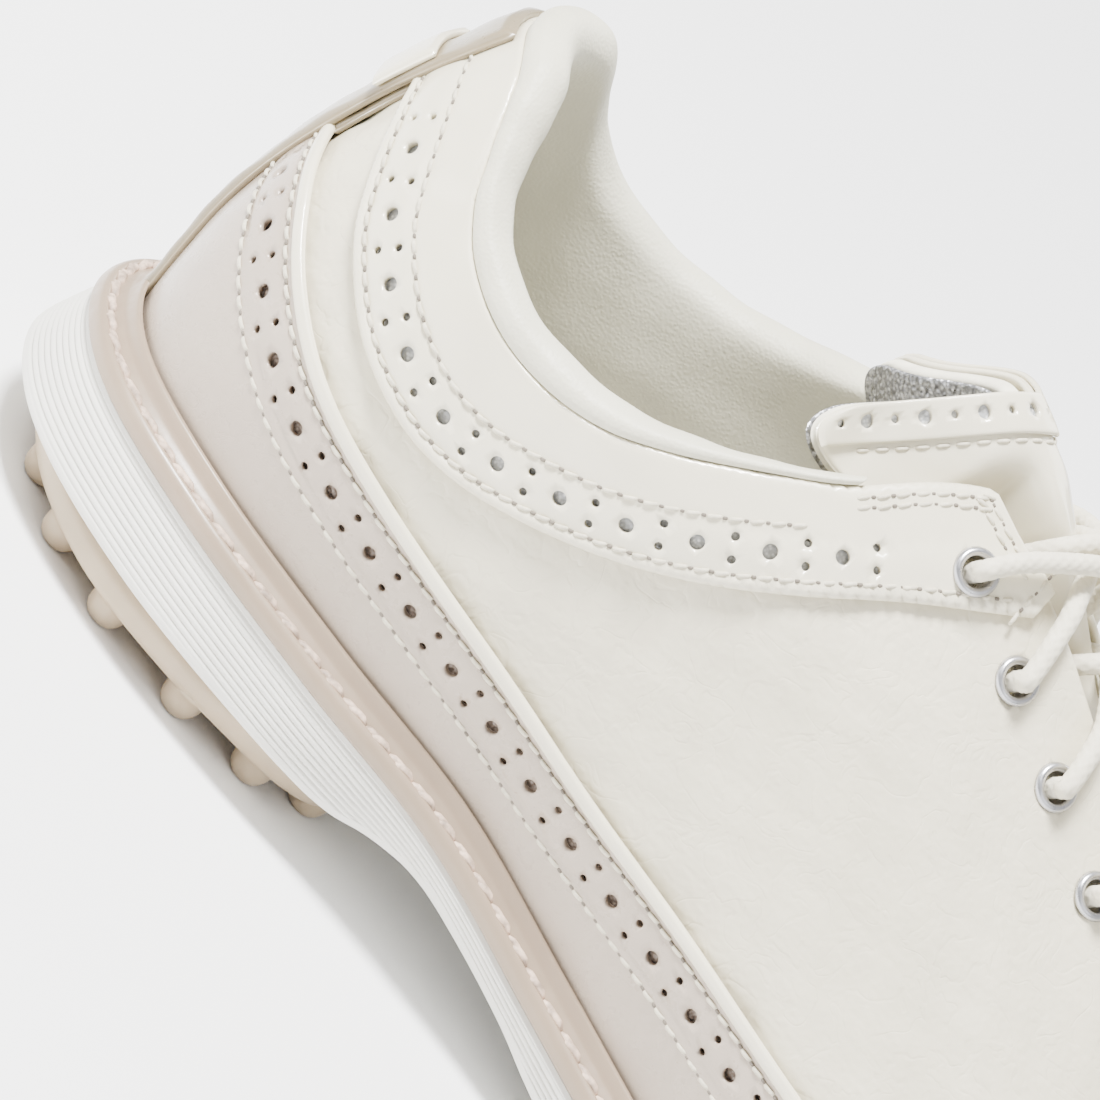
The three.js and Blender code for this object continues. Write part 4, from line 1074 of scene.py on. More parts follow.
def collar_foot(k):
    v = top_v(k)
    lowest = foot(k, v)[:, 2] + mix(0.6, 1, roll_size(k)) * ROLL[-1][1] - 1.2
    return rise(k, level(lowest), 0.05, v)


def lining_top(k):
    return np.where(by_side(k) < ROLL_END + 0.05, collar_foot(k), top_v(k))


for side, sign in SIDES.items():
    k0, k1 = span(sign, 0.02, SEAM_K)
    leather(f"inner_lining_{side}", k0, k1, LOW_V, lining_top, lining_off, lambda k, v: lining_off(k) - LINING,
            LININGS, 2.5, 0.06, replaces=(f"lining_{side}",), slot="lining_leather")


def lining_seams():
    """The tape up the heel inside, and the roll of leather where the collar meets the linings."""
    ks = np.linspace(-0.16, 0.16, 13)
    vs = np.linspace(LOW_V + 0.01, float(collar_foot(np.zeros(1))[0]) + 0.015, 50)
    k, v = np.meshgrid(ks, vs, indexing="ij")
    inner_face = lining_off(k) - LINING
    rounded = edge_round((0.16 - abs(k)) * K_MM, 0.5)
    piece("inner_heel_tape", *slab(skin(k, v, inner_face - 0.02), skin(k, v, inner_face - 0.08 - 0.5 * rounded)),
          LININGS, slot="lining_leather")
    ks = np.linspace(-ROLL_END, ROLL_END, 300)
    foot_line = skin(ks, collar_foot(ks) + 0.006, lining_off(ks) - LINING - 0.1)
    piece("inner_collar_bead", *tube(resampled(foot_line, 0.9), 0.75, 12), LININGS, slot="lining_leather")


lining_seams()

# ---------- vamp and wing ----------
CREST_PASSES, CREST_REACH = 24, 6  # smoothing of the ridge where the two halves of the foot meet


def as_offset(off):
    """An offset from the foot as a function of k."""
    return off if callable(off) else lambda k: np.full(np.shape(k), float(off))


def over_toe(name, k0, low, outside, inside, material, cols=44, rows=70, relief=None,
             passes=CREST_PASSES, **known):
    """A sheet over the front of the foot, from one feather edge over the ridge to the other."""
    ks = np.concatenate([k0 + np.array([0, 0.006, 0.016, 0.03]), np.linspace(k0 + 0.06, HALF, rows)])
    us = np.concatenate([np.array([0, 0.002, 0.006, 0.012]), np.linspace(0.022, 1, cols)])
    v = low + (1 - low) * us
    near = np.minimum(((ks - k0) * K_MM)[:, None], ((v - low) * 75)[None])
    full = edge_round(near, 0.9)
    outside, inside = as_offset(outside), as_offset(inside)
    grids = []
    for off in (outside, inside):
        halves = []
        for way in (1, -1):
            k = np.broadcast_to((ks if way > 0 else COUNT - ks)[:, None], (len(ks), len(v)))
            w = np.broadcast_to(v[None], k.shape)
            o = mix((outside(k) + inside(k)) / 2, off(k), full)
            if relief and off is outside:
                o = o + relief(foot(k, w)) * edge_round(near, 5)
            halves.append(skin(k, w, o))
        a, b = halves
        a[:, -1] = (a[:, -1] + b[:, -1]) / 2
        grid = np.concatenate([a, b[:, :-1][:, ::-1]], 1)
        c = len(v) - 1
        for _ in range(passes):
            rough = grid[:, c - CREST_REACH - 1:c + CREST_REACH + 2]
            smoothed = 0.5 * rough[:, 1:-1] + 0.25 * (rough[:, :-2] + rough[:, 2:])
            grid[:, c - CREST_REACH:c + CREST_REACH + 1] = smoothed
        last = (grid[-1, :c] + grid[-1, :c:-1]) / 2
        grid[-1, :c] = last
        grid[-1, :c:-1] = last
        grids.append(grid)
    points, faces = slab(*grids)
    across = grids[0].shape[1]
    size = grids[0].shape[0] * across
    fold = set(range(size - across, size)) | set(range(2 * size - across, 2 * size))
    faces = [f for f in faces if not fold.issuperset(f)]
    made = piece(name, points, faces, material, **known)
    return weld(made)


def weld(made, distance=2e-6):
    work = bmesh.new()
    work.from_mesh(made.data)
    bmesh.ops.remove_doubles(work, verts=work.verts, dist=distance)
    bmesh.ops.dissolve_degenerate(work, dist=distance, edges=work.edges)
    bmesh.ops.recalc_face_normals(work, faces=work.faces)
    work.to_mesh(made.data)
    work.free()
    return made


over_toe("upper_vamp", SEAM_K + 0.02, LOW_V, 0, -LEATHER, SOFT, relief=lambda p: 0.14 * waves(p, 21, 13),
         replaces=("vamp",), slot="soft_leather")
over_toe("inner_vamp", SEAM_K + 0.02, LOW_V, lining_off, lambda k: lining_off(k) - LINING, LININGS, 24, 40,
         passes=0, replaces=("lining_vamp",), slot="lining_leather")
wing = over_toe("upper_wing", CAP_K + 0.02, LAP_V, SOFT_OUT, LAP, PEARL, 60, 80,
                relief=lambda p: 0.06 * waves(p, 27, 15), replaces=("toe_wing",), slot="pearl_leather")
WING_EDGE = [[228, -60], [228, -37], [240, -30], [248, -22], [250, -14], [246, -7], [237, -2], [246, 3],
             [249, 10], [246, 18], [237, 26], [225, 33], [225, 60]]
WING_POINT = WING_EDGE.index([237, -2])


def wing_curve(per_span=8):
    """The two scallops of the wing, each a smooth curve that ends in the point between them."""
    halves = [WING_EDGE[1:WING_POINT + 1], WING_EDGE[WING_POINT:-1]]
    curves = [along(h, np.linspace(0, len(h) - 1, per_span * (len(h) - 1) + 1))[:, :2] for h in halves]
    return np.concatenate([curves[0], curves[1][1:]])


def cut_away(made, points, faces):
    """Take a closed form away from a piece."""
    knife = piece("knife", points, faces, PEARL, body=None)
    cut = made.modifiers.new("cut", "BOOLEAN")
    cut.operation, cut.object, cut.solver = "DIFFERENCE", knife, "EXACT"
    fresh = bpy.data.meshes.new_from_object(made.evaluated_get(bpy.context.evaluated_depsgraph_get()))
    made.modifiers.clear()
    made.data = fresh
    fresh.polygons.foreach_set("use_smooth", [True] * len(fresh.polygons))
    bpy.data.objects.remove(knife)


KNIFE_BACK, KNIFE_SIDE, KNIFE_Z = 150, 60, (36, 96)


def cut_wing():
    """Trim the cap to its winged edge, with an upright knife over everything behind it."""
    loop = [[KNIFE_BACK, -KNIFE_SIDE], WING_EDGE[0], *wing_curve().tolist(), WING_EDGE[-1],
            [KNIFE_BACK, KNIFE_SIDE]]
    n = len(loop)
    points = [(x, y, z) for z in KNIFE_Z for x, y in loop]
    faces = [tuple(range(n))[::-1], tuple(range(n, 2 * n))]
    faces += [(i, (i + 1) % n, n + (i + 1) % n, n + i) for i in range(n)]
    cut_away(wing, points, faces)


cut_wing()


def on_foot_below(x, y):
    """The foot's k and v under a place in plan near the toe, found by steps from the ridge."""
    ks = np.linspace(7.0, 10.9, 60)
    sheet_k = np.concatenate([ks, COUNT - ks])
    vs = np.linspace(0.35, 1, 60)
    kk, vv = np.meshgrid(sheet_k, vs, indexing="ij")
    p = foot(kk, vv)
    gap = (p[..., 0] - x) ** 2 + (p[..., 1] - y) ** 2
    i = np.unravel_index(gap.argmin(), gap.shape)
    k, v = kk[i], vv[i]
    for _ in range(12):
        dk, dv = slopes(k, v)
        p = foot(k, v)
        a = np.array([[dk[0], dv[0]], [dk[1], dv[1]]])
        step = np.linalg.solve(a + 1e-9 * np.eye(2), [x - p[0], y - p[1]])
        k, v = k + float(np.clip(step[0], -0.2, 0.2)), float(np.clip(v + np.clip(step[1], -0.1, 0.1), 0.2, 1.0))
    return k, v


def wing_path(inset):
    """The winged edge moved towards the toe, as places k and v on the foot."""
    path = wing_curve()
    run = length_of(path)
    at = np.linspace(0, run[-1], 120)
    line = np.stack([np.interp(at, run, path[:, c]) for c in (0, 1)], 1)
    t = unit(np.gradient(line, axis=0))
    line = line + np.stack([t[:, 1], -t[:, 0]], 1) * inset
    where = [on_foot_below(x, y) for x, y in line]
    return np.array([w[0] for w in where]), np.array([w[1] for w in where])


def seam_beads(name, at_k, v_from, v_to, off, radius, material, slot):
    """A thin roll of leather up a seam, on both sides of the foot."""
    k, v = np.full(60, at_k), np.linspace(v_from, v_to, 60)
    rolls = [tube(resampled(skin(own, v, off), 0.8), radius, 10) for own in (COUNT - k, k)]
    piece(name, *merged(*rolls), material, slot=slot)


seam_beads("quarter_seam_beads", SEAM_K + 0.012, 0.34, 0.945, -0.5, 0.62, SOFT, "soft_leather")
seam_beads("foxing_seam_beads", CAP_K + 0.012, LAP_V, 0.52, SOFT_OUT - 0.55, 0.6, PEARL, "pearl_leather")
wing_k, wing_v = wing_path(0.4)
piece("wing_edge", *tube(resampled(skin(wing_k, wing_v, SOFT_OUT - 0.3), 0.8), 0.95, 12), PATENT,
      slot="cream_leather")

# ---------- backstay and tab ----------
STAY_OUT = OVERLAY + 2 * LAP


def strip(name, low, high, half_wide, outside, inside, material, rows=80, cols=30, **known):
    vs = np.linspace(low, high, rows)
    us = np.sort(np.concatenate([np.linspace(-0.94, 0.94, cols), [-1, -0.985, -0.965, 0.965, 0.985, 1]]))
    k = us[:, None] * half_wide(vs)[None]
    v = np.broadcast_to(vs[None], k.shape)
    side_mm = (1 - abs(us))[:, None] * np.linalg.norm(slopes(k, v)[0], axis=-1) * half_wide(vs)[None]
    end_mm = np.minimum(v - low, high - v) * mm_per_v(k, v)
    full = edge_round(np.minimum(side_mm, end_mm), 0.9)
    middle = (outside + inside) / 2
    bow = 0.12 * waves(foot(k, v), 18, 9)
    outer, inner = skin(k, v, mix(middle, outside + bow, full)), skin(k, v, mix(middle, inside, full))
    return piece(name, *slab(outer, inner), material, **known)


TOP_AT_HEEL = float(top_v(0.0))


def stay_wide(v):
    return mix(0.2, 0.48, v / TOP_AT_HEEL)


strip("heel_backstay", 0.055, TOP_AT_HEEL - 0.005, stay_wide, STAY_OUT + 1.1, STAY_OUT - 0.9, STAY,
      replaces=("backstay",), slot="stay_leather")
strip("heel_seam_tape", float(foxing_v(0.0)) - 0.012, float(strap_v(0.0)) + 0.01, lambda v: stay_wide(v) - 0.012,
      STAY_OUT - 0.95, 0.06, STAY, 40, 30, slot="stay_leather")
strip("heel_loop_tab", 0.57, 0.69, lambda v: 0.42 + 0 * v, STAY_OUT + 1 + LAP + 0.9, STAY_OUT + 1.05, PATENT,
      30, 24, replaces=("heel_tab",), slot="cream_leather")

# ---------- tongue ----------
TONGUE_SIDE_V, TONGUE_FRONT_K, TONGUE_TOP_K, EARS = 0.815, 7.45, 4.26, 0.82
TRIM_PART, TONGUE_LEATHER, CORNER = 0.075, 1.2, 0.12
TONGUE_LONG, TONGUE_HALF = 105.0, 26.0  # about its length and half its width


def tongue_off(k, v):
    side, p = by_side(k), foot(k, v)
    edge = value_at(THROAT, p[..., 0])
    laced = ease(side, 4.3, 4.62)
    proud = mix(1, -3.2, ease(side, 4.6, 5.6))
    deep = mix(mix(-3.2, -5.6, ease(side, 3.6, 3.95)), -9.3, laced)
    from_y, to_y = mix(5, edge - 9, laced), mix(22, edge - 2, laced)
    u = np.clip((abs(p[..., 1]) - from_y) / (to_y - from_y), 0, 1)
    return mix(proud, deep, u * u * (3 - 2 * u))


def tongue(a, b, off):
    """A point of the tongue: a from its top edge to its toe end, b across it from the medial side."""
    a, b, off = np.broadcast_arrays(np.asarray(a, float), np.asarray(b, float), np.asarray(off, float))
    rounded = 1 - 0.3 * (1 - np.sqrt(np.clip(1 - (1 - np.clip(a, 0, CORNER) / CORNER) ** 2, 0, 1)))
    b = b * rounded
    k = mix(TONGUE_TOP_K - EARS * abs(b) ** 1.4, TONGUE_FRONT_K, a)
    v = 1 - (1 - TONGUE_SIDE_V) * abs(b)
    own_k = np.where(b > 0, COUNT - k, k)
    own = skin(own_k, v, tongue_off(own_k, v) + off)
    other = skin(COUNT - own_k, v, tongue_off(COUNT - own_k, v) + off)
    share = (0.5 * (1 - ease(abs(b), 0, 0.1)))[..., None]
    return own * (1 - share) + other * share


def tongue_sheet(a0, a1, outside, inside, rows, cols, wrinkle=0.0):
    a = np.unique(np.concatenate([np.linspace(a0, a1, rows), a0 + np.array([0.0015, 0.004, 0.008])]))
    b = np.unique(np.concatenate([np.linspace(-1, 1, cols), [-0.993, -0.98, -0.96, 0.96, 0.98, 0.993]]))
    aa, bb = np.meshgrid(a, b, indexing="ij")
    from_end = np.minimum((aa - a0), (a1 - aa) if a1 > 0.9 else 9) * TONGUE_LONG
    from_side = (1 - abs(bb)) * TONGUE_HALF
    full = edge_round(np.minimum(from_end, from_side), 0.6)
    middle = (outside + inside) / 2
    ripple = wrinkle * waves(tongue(aa, bb, outside), 16, 10) * full * ease(aa, TRIM_PART, TRIM_PART + 0.08)
    return slab(tongue(aa, bb, mix(middle, outside, full) + ripple), tongue(aa, bb, mix(middle, inside, full)))


HINGE = np.array([104.4, 0, 120.4])
ALONG_HINGE = np.array([-0.77, 0, 0.64])
BEND_HALF = 4  # how far bend_from and bend_to lie from the hinge, on both sides
bend_from, bend_to = (put(HINGE + ALONG_HINGE * reach)[0].tolist() for reach in (-BEND_HALF, BEND_HALF))


def bent(made):
    """The piece crosses the tongue's hinge; its place is baked into its mesh, and it is not bent."""
    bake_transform(made)
    return made


for name, faces_of, material, slot, gone in (
    ("tongue_leather", (0, -TONGUE_LEATHER, 0.12), PATENT, "cream_leather", ("tongue_base", "tongue_flap")),
    ("tongue_padding", (-1.9, -4.3, 0), FOAM, "padding", ("tongue_base_pad", "tongue_flap_pad")),
    ("tongue_glitter", (-5.0, -5.8, 0.25), SILVER, "silver_lining", ("tongue_base_lining", "tongue_flap_lining")),
):
    out, inn, wrinkle = faces_of
    made = piece(name, *tongue_sheet(0, 1, out, inn, 130, 70, wrinkle), material, body=None,
                 replaces=gone, slot=slot)
    bent(made)

# The perforated trim folded over the tongue's top edge.
TRIM_OUT, TRIM_IN = LAP + 0.4, 0.15


def tongue_ring(a, b, radius, sides):
    e = 1e-3
    da = (tongue(a + e, b, 1) - tongue(a - e, b, 1)) / (2 * e)
    db = (tongue(a, b + e, 1) - tongue(a, b - e, 1)) / (2 * e)
    return ring_on(a, b, da, db, radius, sides)


TRIM_HOLES_AT, TRIM_HOLE_STEP = 0.034, 4.6


def tongue_trim():
    """The trim, the sheet behind its holes, and the row of stitches under it."""
    b_line = np.linspace(-0.985, 0.985, 400)
    depth = TRIM_HOLES_AT
    line = tongue(depth, b_line, 1)
    run = length_of(line)
    count = int(run[-1] / TRIM_HOLE_STEP) // 2 * 2
    rings, middles = [], []
    for i, at in enumerate(np.linspace(2.5, run[-1] - 2.5, count + 1)):
        b = float(np.interp(at, run, b_line))
        radius = (0.65, 1.1)[i % 2]
        rings.append(tongue_ring(depth, b, radius, 16))
        middles.append((tongue(depth, b, 1), radius))
    near_edges = [0.0015, 0.004, TRIM_PART - 0.0015, TRIM_PART - 0.004]
    a_rows = np.unique(np.concatenate([np.linspace(0, TRIM_PART, 9), near_edges]))
    b_rows = np.linspace(-1, 1, 90)
    border = [(0, b) for b in b_rows] + [(a, 1) for a in a_rows[1:]]
    border += [(TRIM_PART, b) for b in b_rows[-2::-1]] + [(a, -1) for a in a_rows[-2:0:-1]]
    inside = np.stack(np.meshgrid(a_rows[1:-1], b_rows[1:-1], indexing="ij"), -1).reshape(-1, 2)
    clear = clear_of(tongue(inside[:, 0], inside[:, 1], 1), middles)

    def faces_at(a, b):
        near = np.minimum(np.minimum(a, TRIM_PART - a) * TONGUE_LONG, (1 - abs(b)) * TONGUE_HALF)
        full = edge_round(near, 0.6)
        middle = (TRIM_OUT + TRIM_IN) / 2
        return tongue(a, b, mix(middle, TRIM_OUT, full)), tongue(a, b, mix(middle, TRIM_IN, full))

    points, faces = punched_sheet(border, inside[clear], rings, None, (TONGUE_LONG, TONGUE_HALF), faces_at)
    bent(piece("tongue_top_trim", points, faces, PATENT, body=None, replaces=("tongue_trim",),
               slot="cream_leather"))
    a_back, b_back = np.meshgrid(np.linspace(0.012, 0.058, 5), np.linspace(-0.97, 0.97, 80), indexing="ij")
    backing = slab(tongue(a_back, b_back, 0.13), tongue(a_back, b_back, 0.04))
    bent(piece("trim_backing", *backing, BRIGHT, body=None, slot="silver_lining"))
    b_line = np.linspace(-0.9, 0.9, 300)
    line = tongue(TRIM_PART + 0.01, b_line, 0.0)
    run = length_of(line)
    at = np.arange(1.5, run[-1] - 1, STITCH_PITCH)
    b = np.interp(at, run, b_line)
    ahead = tongue(TRIM_PART + 0.01, b + 0.01, 0) - tongue(TRIM_PART + 0.01, b - 0.01, 0)
    down = tongue(TRIM_PART + 0.02, b, 0) - tongue(TRIM_PART, b, 0)
    n = unit(np.cross(down, ahead))
    points, faces = capsules(tongue(TRIM_PART + 0.01, b, -0.06), unit(ahead), n, STITCH_LONG, STITCH_R)
    bent(piece("trim_stitches", points, faces, CREAM_THREAD, body=None, slot="cream_leather"))


tongue_trim()


# ---------- eyelets and lace ----------
LACE_D = 3.2
UNDER = -(LEATHER + 2 * GAP + LINING + LACE_D / 2 + 1.5)


def locate(x, y):
    side = 1 if y > 0 else -1
    ks = np.linspace(3.4, 7.8, 90)
    own = COUNT - ks if side > 0 else ks
    v = rise(own, lambda p: abs(y) - abs(p[..., 1]), 0.6, 1)
    xs = foot(own, v)[:, 0]
    k = float(np.interp(x, xs, ks))
    k = COUNT - k if side > 0 else k
    return k, float(rise(np.array([k]), lambda p: abs(y) - abs(p[..., 1]), 0.6, 1)[0])


def over(x, y, off):
    return skin(*locate(x, y), off)


def spot(side, i):
    x, y = EYELET_ROW[i]
    k, v = locate(x, y * side)
    return {"side": side, "i": i, "x": x, "y": y * side, "k": k, "v": v, "face": SOFT_OUT if i == 0 else 0}


SPOTS = {(side, i): spot(side, i) for side in (-1, 1) for i in range(EYELETS)}


def crest_tongue(x):
    return float(tongue_off(np.array(locate(x, -0.05)[0]), np.array(1.0)))


def strand(start, to, high):
    def at(t, off):
        return over(mix(start["x"], to["x"], t), mix(start["y"], to["y"], t), off)

    middle = crest_tongue(mix(start["x"], to["x"], 0.5)) + LACE_D / 2 + 0.6 + (LACE_D + 1 if high else 0)
    edge = float(value_at(THROAT, to["x"])) + 0.2
    t_edge = 0.5 + edge / (2 * abs(to["y"]))
    points = []
    if start["i"] < EYELETS - 1:
        out = start["face"] + 3.5
        points += [skin(start["k"], start["v"], out - 0.3), at(0.12, out), at(0.24, mix(out, middle, 0.25))]
        if high:
            points.append(at(0.4, mix(middle, out, 0.12)))
    else:
        points += [at(0.15, UNDER), at(1 - t_edge, UNDER), at(mix(0.5, 1 - t_edge, 0.5), mix(middle, UNDER, 0.42))]
    return points + [at(0.5, middle), at(mix(0.5, t_edge, 0.5), mix(middle, UNDER, 0.36)), at(t_edge, UNDER)]


def at_height(k, h, off):
    z = float(foot(k, 0.0)[2]) + h
    v = float(rise(np.array([k]), lambda p: p[..., 2] - z, 0, 0.6)[0])
    return skin(k, v, off)


BOARD_TALL, SOCK_TALL = 1.8, 4.2
FLOOR = 2 * GAP + BOARD_TALL + SOCK_TALL + LACE_D / 2 + 0.4
BESIDE = -(LEATHER + 2 * GAP + LINING + LACE_D / 2 + 0.9)


def down_and_forward(k, first, end, inboard):
    wall = [skin(COUNT - k, v, mix(BESIDE, UNDER, v * v)) for v in first]
    turn = at_height(COUNT - k - 0.2, FLOOR + 2, BESIDE - 1 - inboard * 0.6)
    run = [at_height(COUNT - kk, FLOOR, BESIDE - 1.5 - inboard) for kk in np.linspace(k + 0.4, end, 9)]
    return [*wall, turn, *run]


def lace_route(side):
    start = SPOTS[side, EYELETS - 1]
    route = [over(start["x"], side * 0.4, crest_tongue(start["x"]) + 7.5)]
    route += [skin(start["k"], start["v"], off) for off in (4.8, 0, UNDER + 0.5)]
    now = start
    for i in range(EYELETS - 2, -1, -1):
        to = SPOTS[-now["side"], i]
        route += strand(now, to, (i % 2 == 0) == (side > 0))
        route += [skin(to["k"], to["v"], UNDER + 0.5), skin(to["k"], to["v"], to["face"] + 1.6)]
        now = to
    out = now["face"] + 3.5
    if now["side"] < 0:
        lay = [[111.3, -15, out], [114.9, -10.3, out + 0.2], [118.7, -4.9, out + 0.3], [121.6, 0.05, 4.4],
               [123.8, 4.8, 0.8], [124.9, 9.9, UNDER], [122.6, 14.8, UNDER], [121.8, 20, UNDER]]
        tail = down_and_forward(5.12, [0.72, 0.55, 0.38, 0.24], 7.3, 0)
    else:
        lay = [[112, 15, out], [115.4, 11, out - 0.8], [117.2, 8.8, 1.8], [117.4, 8.4, -2.2],
               [118, 10.8, UNDER], [118.2, 15.5, UNDER], [116.8, 21, UNDER]]
        tail = down_and_forward(4.85, [0.72, 0.55, 0.38, 0.22], 6.7, 5)
    return np.array([*route, skin(now["k"], now["v"], out - 0.3), *[over(*q) for q in lay], *tail])


BRAID_PITCH = 1.9


def braid(run, turn):
    """Strands crossing both ways round the lace."""
    a = np.sin(6 * turn + 2 * np.pi * run / BRAID_PITCH)
    b = np.sin(6 * turn - 2 * np.pi * run / BRAID_PITCH)
    return 1 + 0.075 * np.maximum(a, b) - 0.03


for name, side in (("medial", -1), ("lateral", 1)):
    route = lace_route(side)
    smooth = along(route, np.linspace(0, len(route) - 1, 40 * len(route)))
    smooth = resampled(smooth, 0.36)
    piece(f"lace_cord_{name}", *tube(smooth, LACE_D / 2 - 0.05, 32, braid), LACE, replaces=(f"lace_{name}",),
          slot="lace_cord")
    ahead = unit(route[-1] - route[-2])
    tip = route[-1] + ahead * np.array([-2, -1.9, -1.4, 3, 8, 12.4, 12.9, 13.2])[:, None]
    radius = np.array([1.5, 1.7, 1.75, 1.62, 1.6, 1.58, 1.35, 0.9])
    points, faces = tube(tip, 1.0, 24)
    rings = points.reshape(len(tip), 24, 3)
    points = tip[:, None] + (rings - tip[:, None]) * radius[:, None, None]
    piece(f"lace_tip_{name}", points.reshape(-1, 3), faces, LACE, replaces=(f"aglet_{name}",),
          slot="aglet_plastic")

BARREL_R = EYELET_HOLE_R + 0.5


def eyelet(s, segments=48):
    back = -(LEATHER + 3 * GAP + LINING + 0.6)
    face = s["face"]
    profile = [(EYELET_HOLE_R, back - 0.3), (BARREL_R + 0.5, back - 0.4), (BARREL_R + 0.6, back - 0.2),
               (BARREL_R + 0.55, back), (BARREL_R, back), (BARREL_R, face + 0.05),
               (EYELET_FLANGE_R - 0.1, face + 0.02),
               (EYELET_FLANGE_R + 0.02, face + 0.18), (EYELET_FLANGE_R - 0.05, face + 0.5),
               (EYELET_FLANGE_R - 0.35, face + 0.85), (EYELET_FLANGE_R - 0.75, face + 1.02),
               (EYELET_HOLE_R + 0.35, face + 0.93), (EYELET_HOLE_R + 0.1, face + 0.7), (EYELET_HOLE_R, face + 0.3)]
    n, at = foot_normal(s["k"], s["v"]), foot(s["k"], s["v"])
    e1 = unit(slopes(s["k"], s["v"])[0])
    e2 = np.cross(n, e1)
    rings = [at + n * z + circle(e1, e2, r, segments) for r, z in profile]
    rows = len(profile)
    return np.concatenate(rings), grid_faces(rows, segments, closed_rows=True, closed_cols=True)


HOLE_CLEAR = 0.06


def peg(s, sides=32):
    """A closed round bar through the upper, a little wider than the eyelet's barrel."""
    n, at = foot_normal(s["k"], s["v"]), foot(s["k"], s["v"])
    e1 = unit(slopes(s["k"], s["v"])[0])
    around = circle(e1, np.cross(n, e1), BARREL_R + HOLE_CLEAR, sides)
    faces = grid_faces(2, sides, closed_cols=True) + [tuple(range(sides)), tuple(range(sides, 2 * sides))]
    return np.concatenate([at + around - 6 * n, at + around + 4 * n]), faces


def punch_eyelets():
    """Holes for the eyelets' barrels: all six through quarter and lining, the first one through the strap too."""
    for name, sign in SIDES.items():
        pegs = [peg(SPOTS[-sign, i]) for i in range(EYELETS)]
        for part in ("upper_quarter", "inner_lining"):
            cut_away(bpy.data.objects[f"{part}_{name}"], *merged(*pegs))
        cut_away(bpy.data.objects[f"upper_strap_{name}"], *pegs[0])


punch_eyelets()
piece("eyelets", *merged(*[eyelet(s) for s in SPOTS.values()]), METAL,
      replaces=[f"eyelet_{n}_{i + 1}" for n in SIDES for i in range(EYELETS)], slot="eyelet_metal")


# ---------- welt ----------
WELT_TALL, WELT_WIDE = 6.6, 7.4
WELT_OUT = WELT_WIDE + OVERLAY + 2 * GAP


def outwards(k):
    d = foot(k + 0.05, 0.0) - foot(k - 0.05, 0.0)
    n = np.stack([d[..., 1], -d[..., 0], 0 * d[..., 0]], -1)
    return unit(n)


def rim(k, out, z):
    p = foot(k, 0.0) + outwards(k) * np.asarray(out)[..., None]
    p[..., 2] = z
    return p


def wall_point(k, h, off):
    return skin(k, rise(k, level(foot(k, 0.0)[:, 2] + h), 0, 0.6), off)


WELT_PROFILE = [(0.92, 0), (0.985, 0.25), (1.0, 0.9), (0.985, 1.7), (0.93, 2.5), (0.85, 2.98), (0.77, 3.12),
                (0.71, 3.0), (0.675, 2.6), (0.645, 2.3), (0.60, 2.3), (0.565, 2.65), (0.53, 3.1), (0.46, 3.55),
                (0.38, 4.0), (0.32, 4.4), (0.275, 5.0), (0.235, 5.9), (0.19, 6.45), (0.13, WELT_TALL),
                (0.06, WELT_TALL + 0.05)]
LOOP_K = np.arange(0, COUNT, 0.04)
ROPE_PITCH, ROPE_LONG = 5.3, 4.3


def welt_places(k):
    feather, out = foot(k, 0.0), outwards(k)
    high = wall_point(k, WELT_TALL, OVERLAY + LAP + 2 * GAP)
    inner = ((high - feather) * out).sum(-1)

    def place(u, h):
        p = high + out * (mix(inner, WELT_OUT, u) - inner)[:, None]
        p[:, 2] = feather[:, 2] + h
        return p

    return place, high


def welt():
    place, high = welt_places(LOOP_K)
    low = wall_point(LOOP_K, 0.05, OVERLAY + LAP + 2 * GAP)
    low[:, 2] = foot(LOOP_K, 0.0)[:, 2]
    fine = along(WELT_PROFILE, np.linspace(0, len(WELT_PROFILE) - 1, 3 * len(WELT_PROFILE)))
    rings = [low, *[place(u, h) for u, h in fine], high]
    grid = np.stack(rings, 1)
    faces = grid_faces(len(LOOP_K), len(rings), closed_rows=True, closed_cols=True)
    piece("storm_welt", grid.reshape(-1, 3), faces, WELT, replaces=("welt",), slot="welt_leather")
    k = np.arange(0, COUNT, 0.01)
    line = welt_places(k)[0](0.632, 3.15)
    loop = np.concatenate([line, line[:1]])
    run = length_of(loop)
    count = int(run[-1] / ROPE_PITCH)
    at = (np.arange(count) + 0.5) * run[-1] / count

    def pick(s):
        return np.stack([np.interp(np.mod(s, run[-1]), run, loop[:, c]) for c in range(3)], 1)

    parts = []
    for ahead, slant, radius in ((0, 0.1, 0.66), (1.3, 0.24, 0.74)):  # the two strands of the rope stitch
        where = np.mod(at + ahead, run[-1])
        centre = pick(where)
        t = unit(pick(where + 0.5) - pick(where - 0.5))
        n = unit(np.cross(t, np.cross(np.array([0, 0, 1.0]) + 0 * t, t)))
        parts.append(capsules(centre - n * 0.3, unit(t + np.cross(n, t) * slant), n, ROPE_LONG, radius, 0.3))
    piece("welt_stitches", *merged(*parts), WELT_THREAD, slot="welt_leather")


welt()


# ---------- midsole and outsoles ----------
RIDGE_PITCH, RIDGE_DEEP = 0.98, 0.5


def cap_faces(count, ring, flip):
    """Faces across a closed ring of points, joining each point with its mirror on the other side."""
    half = count // 2
    faces = [(ring, ring + 1, ring + count - 1)]
    faces += [(ring + i, ring + i + 1, ring + count - i - 1, ring + count - i) for i in range(1, half - 1)]
    faces.append((ring + half - 1, ring + half, ring + half + 1))
    return [f[::-1] for f in faces] if flip else faces


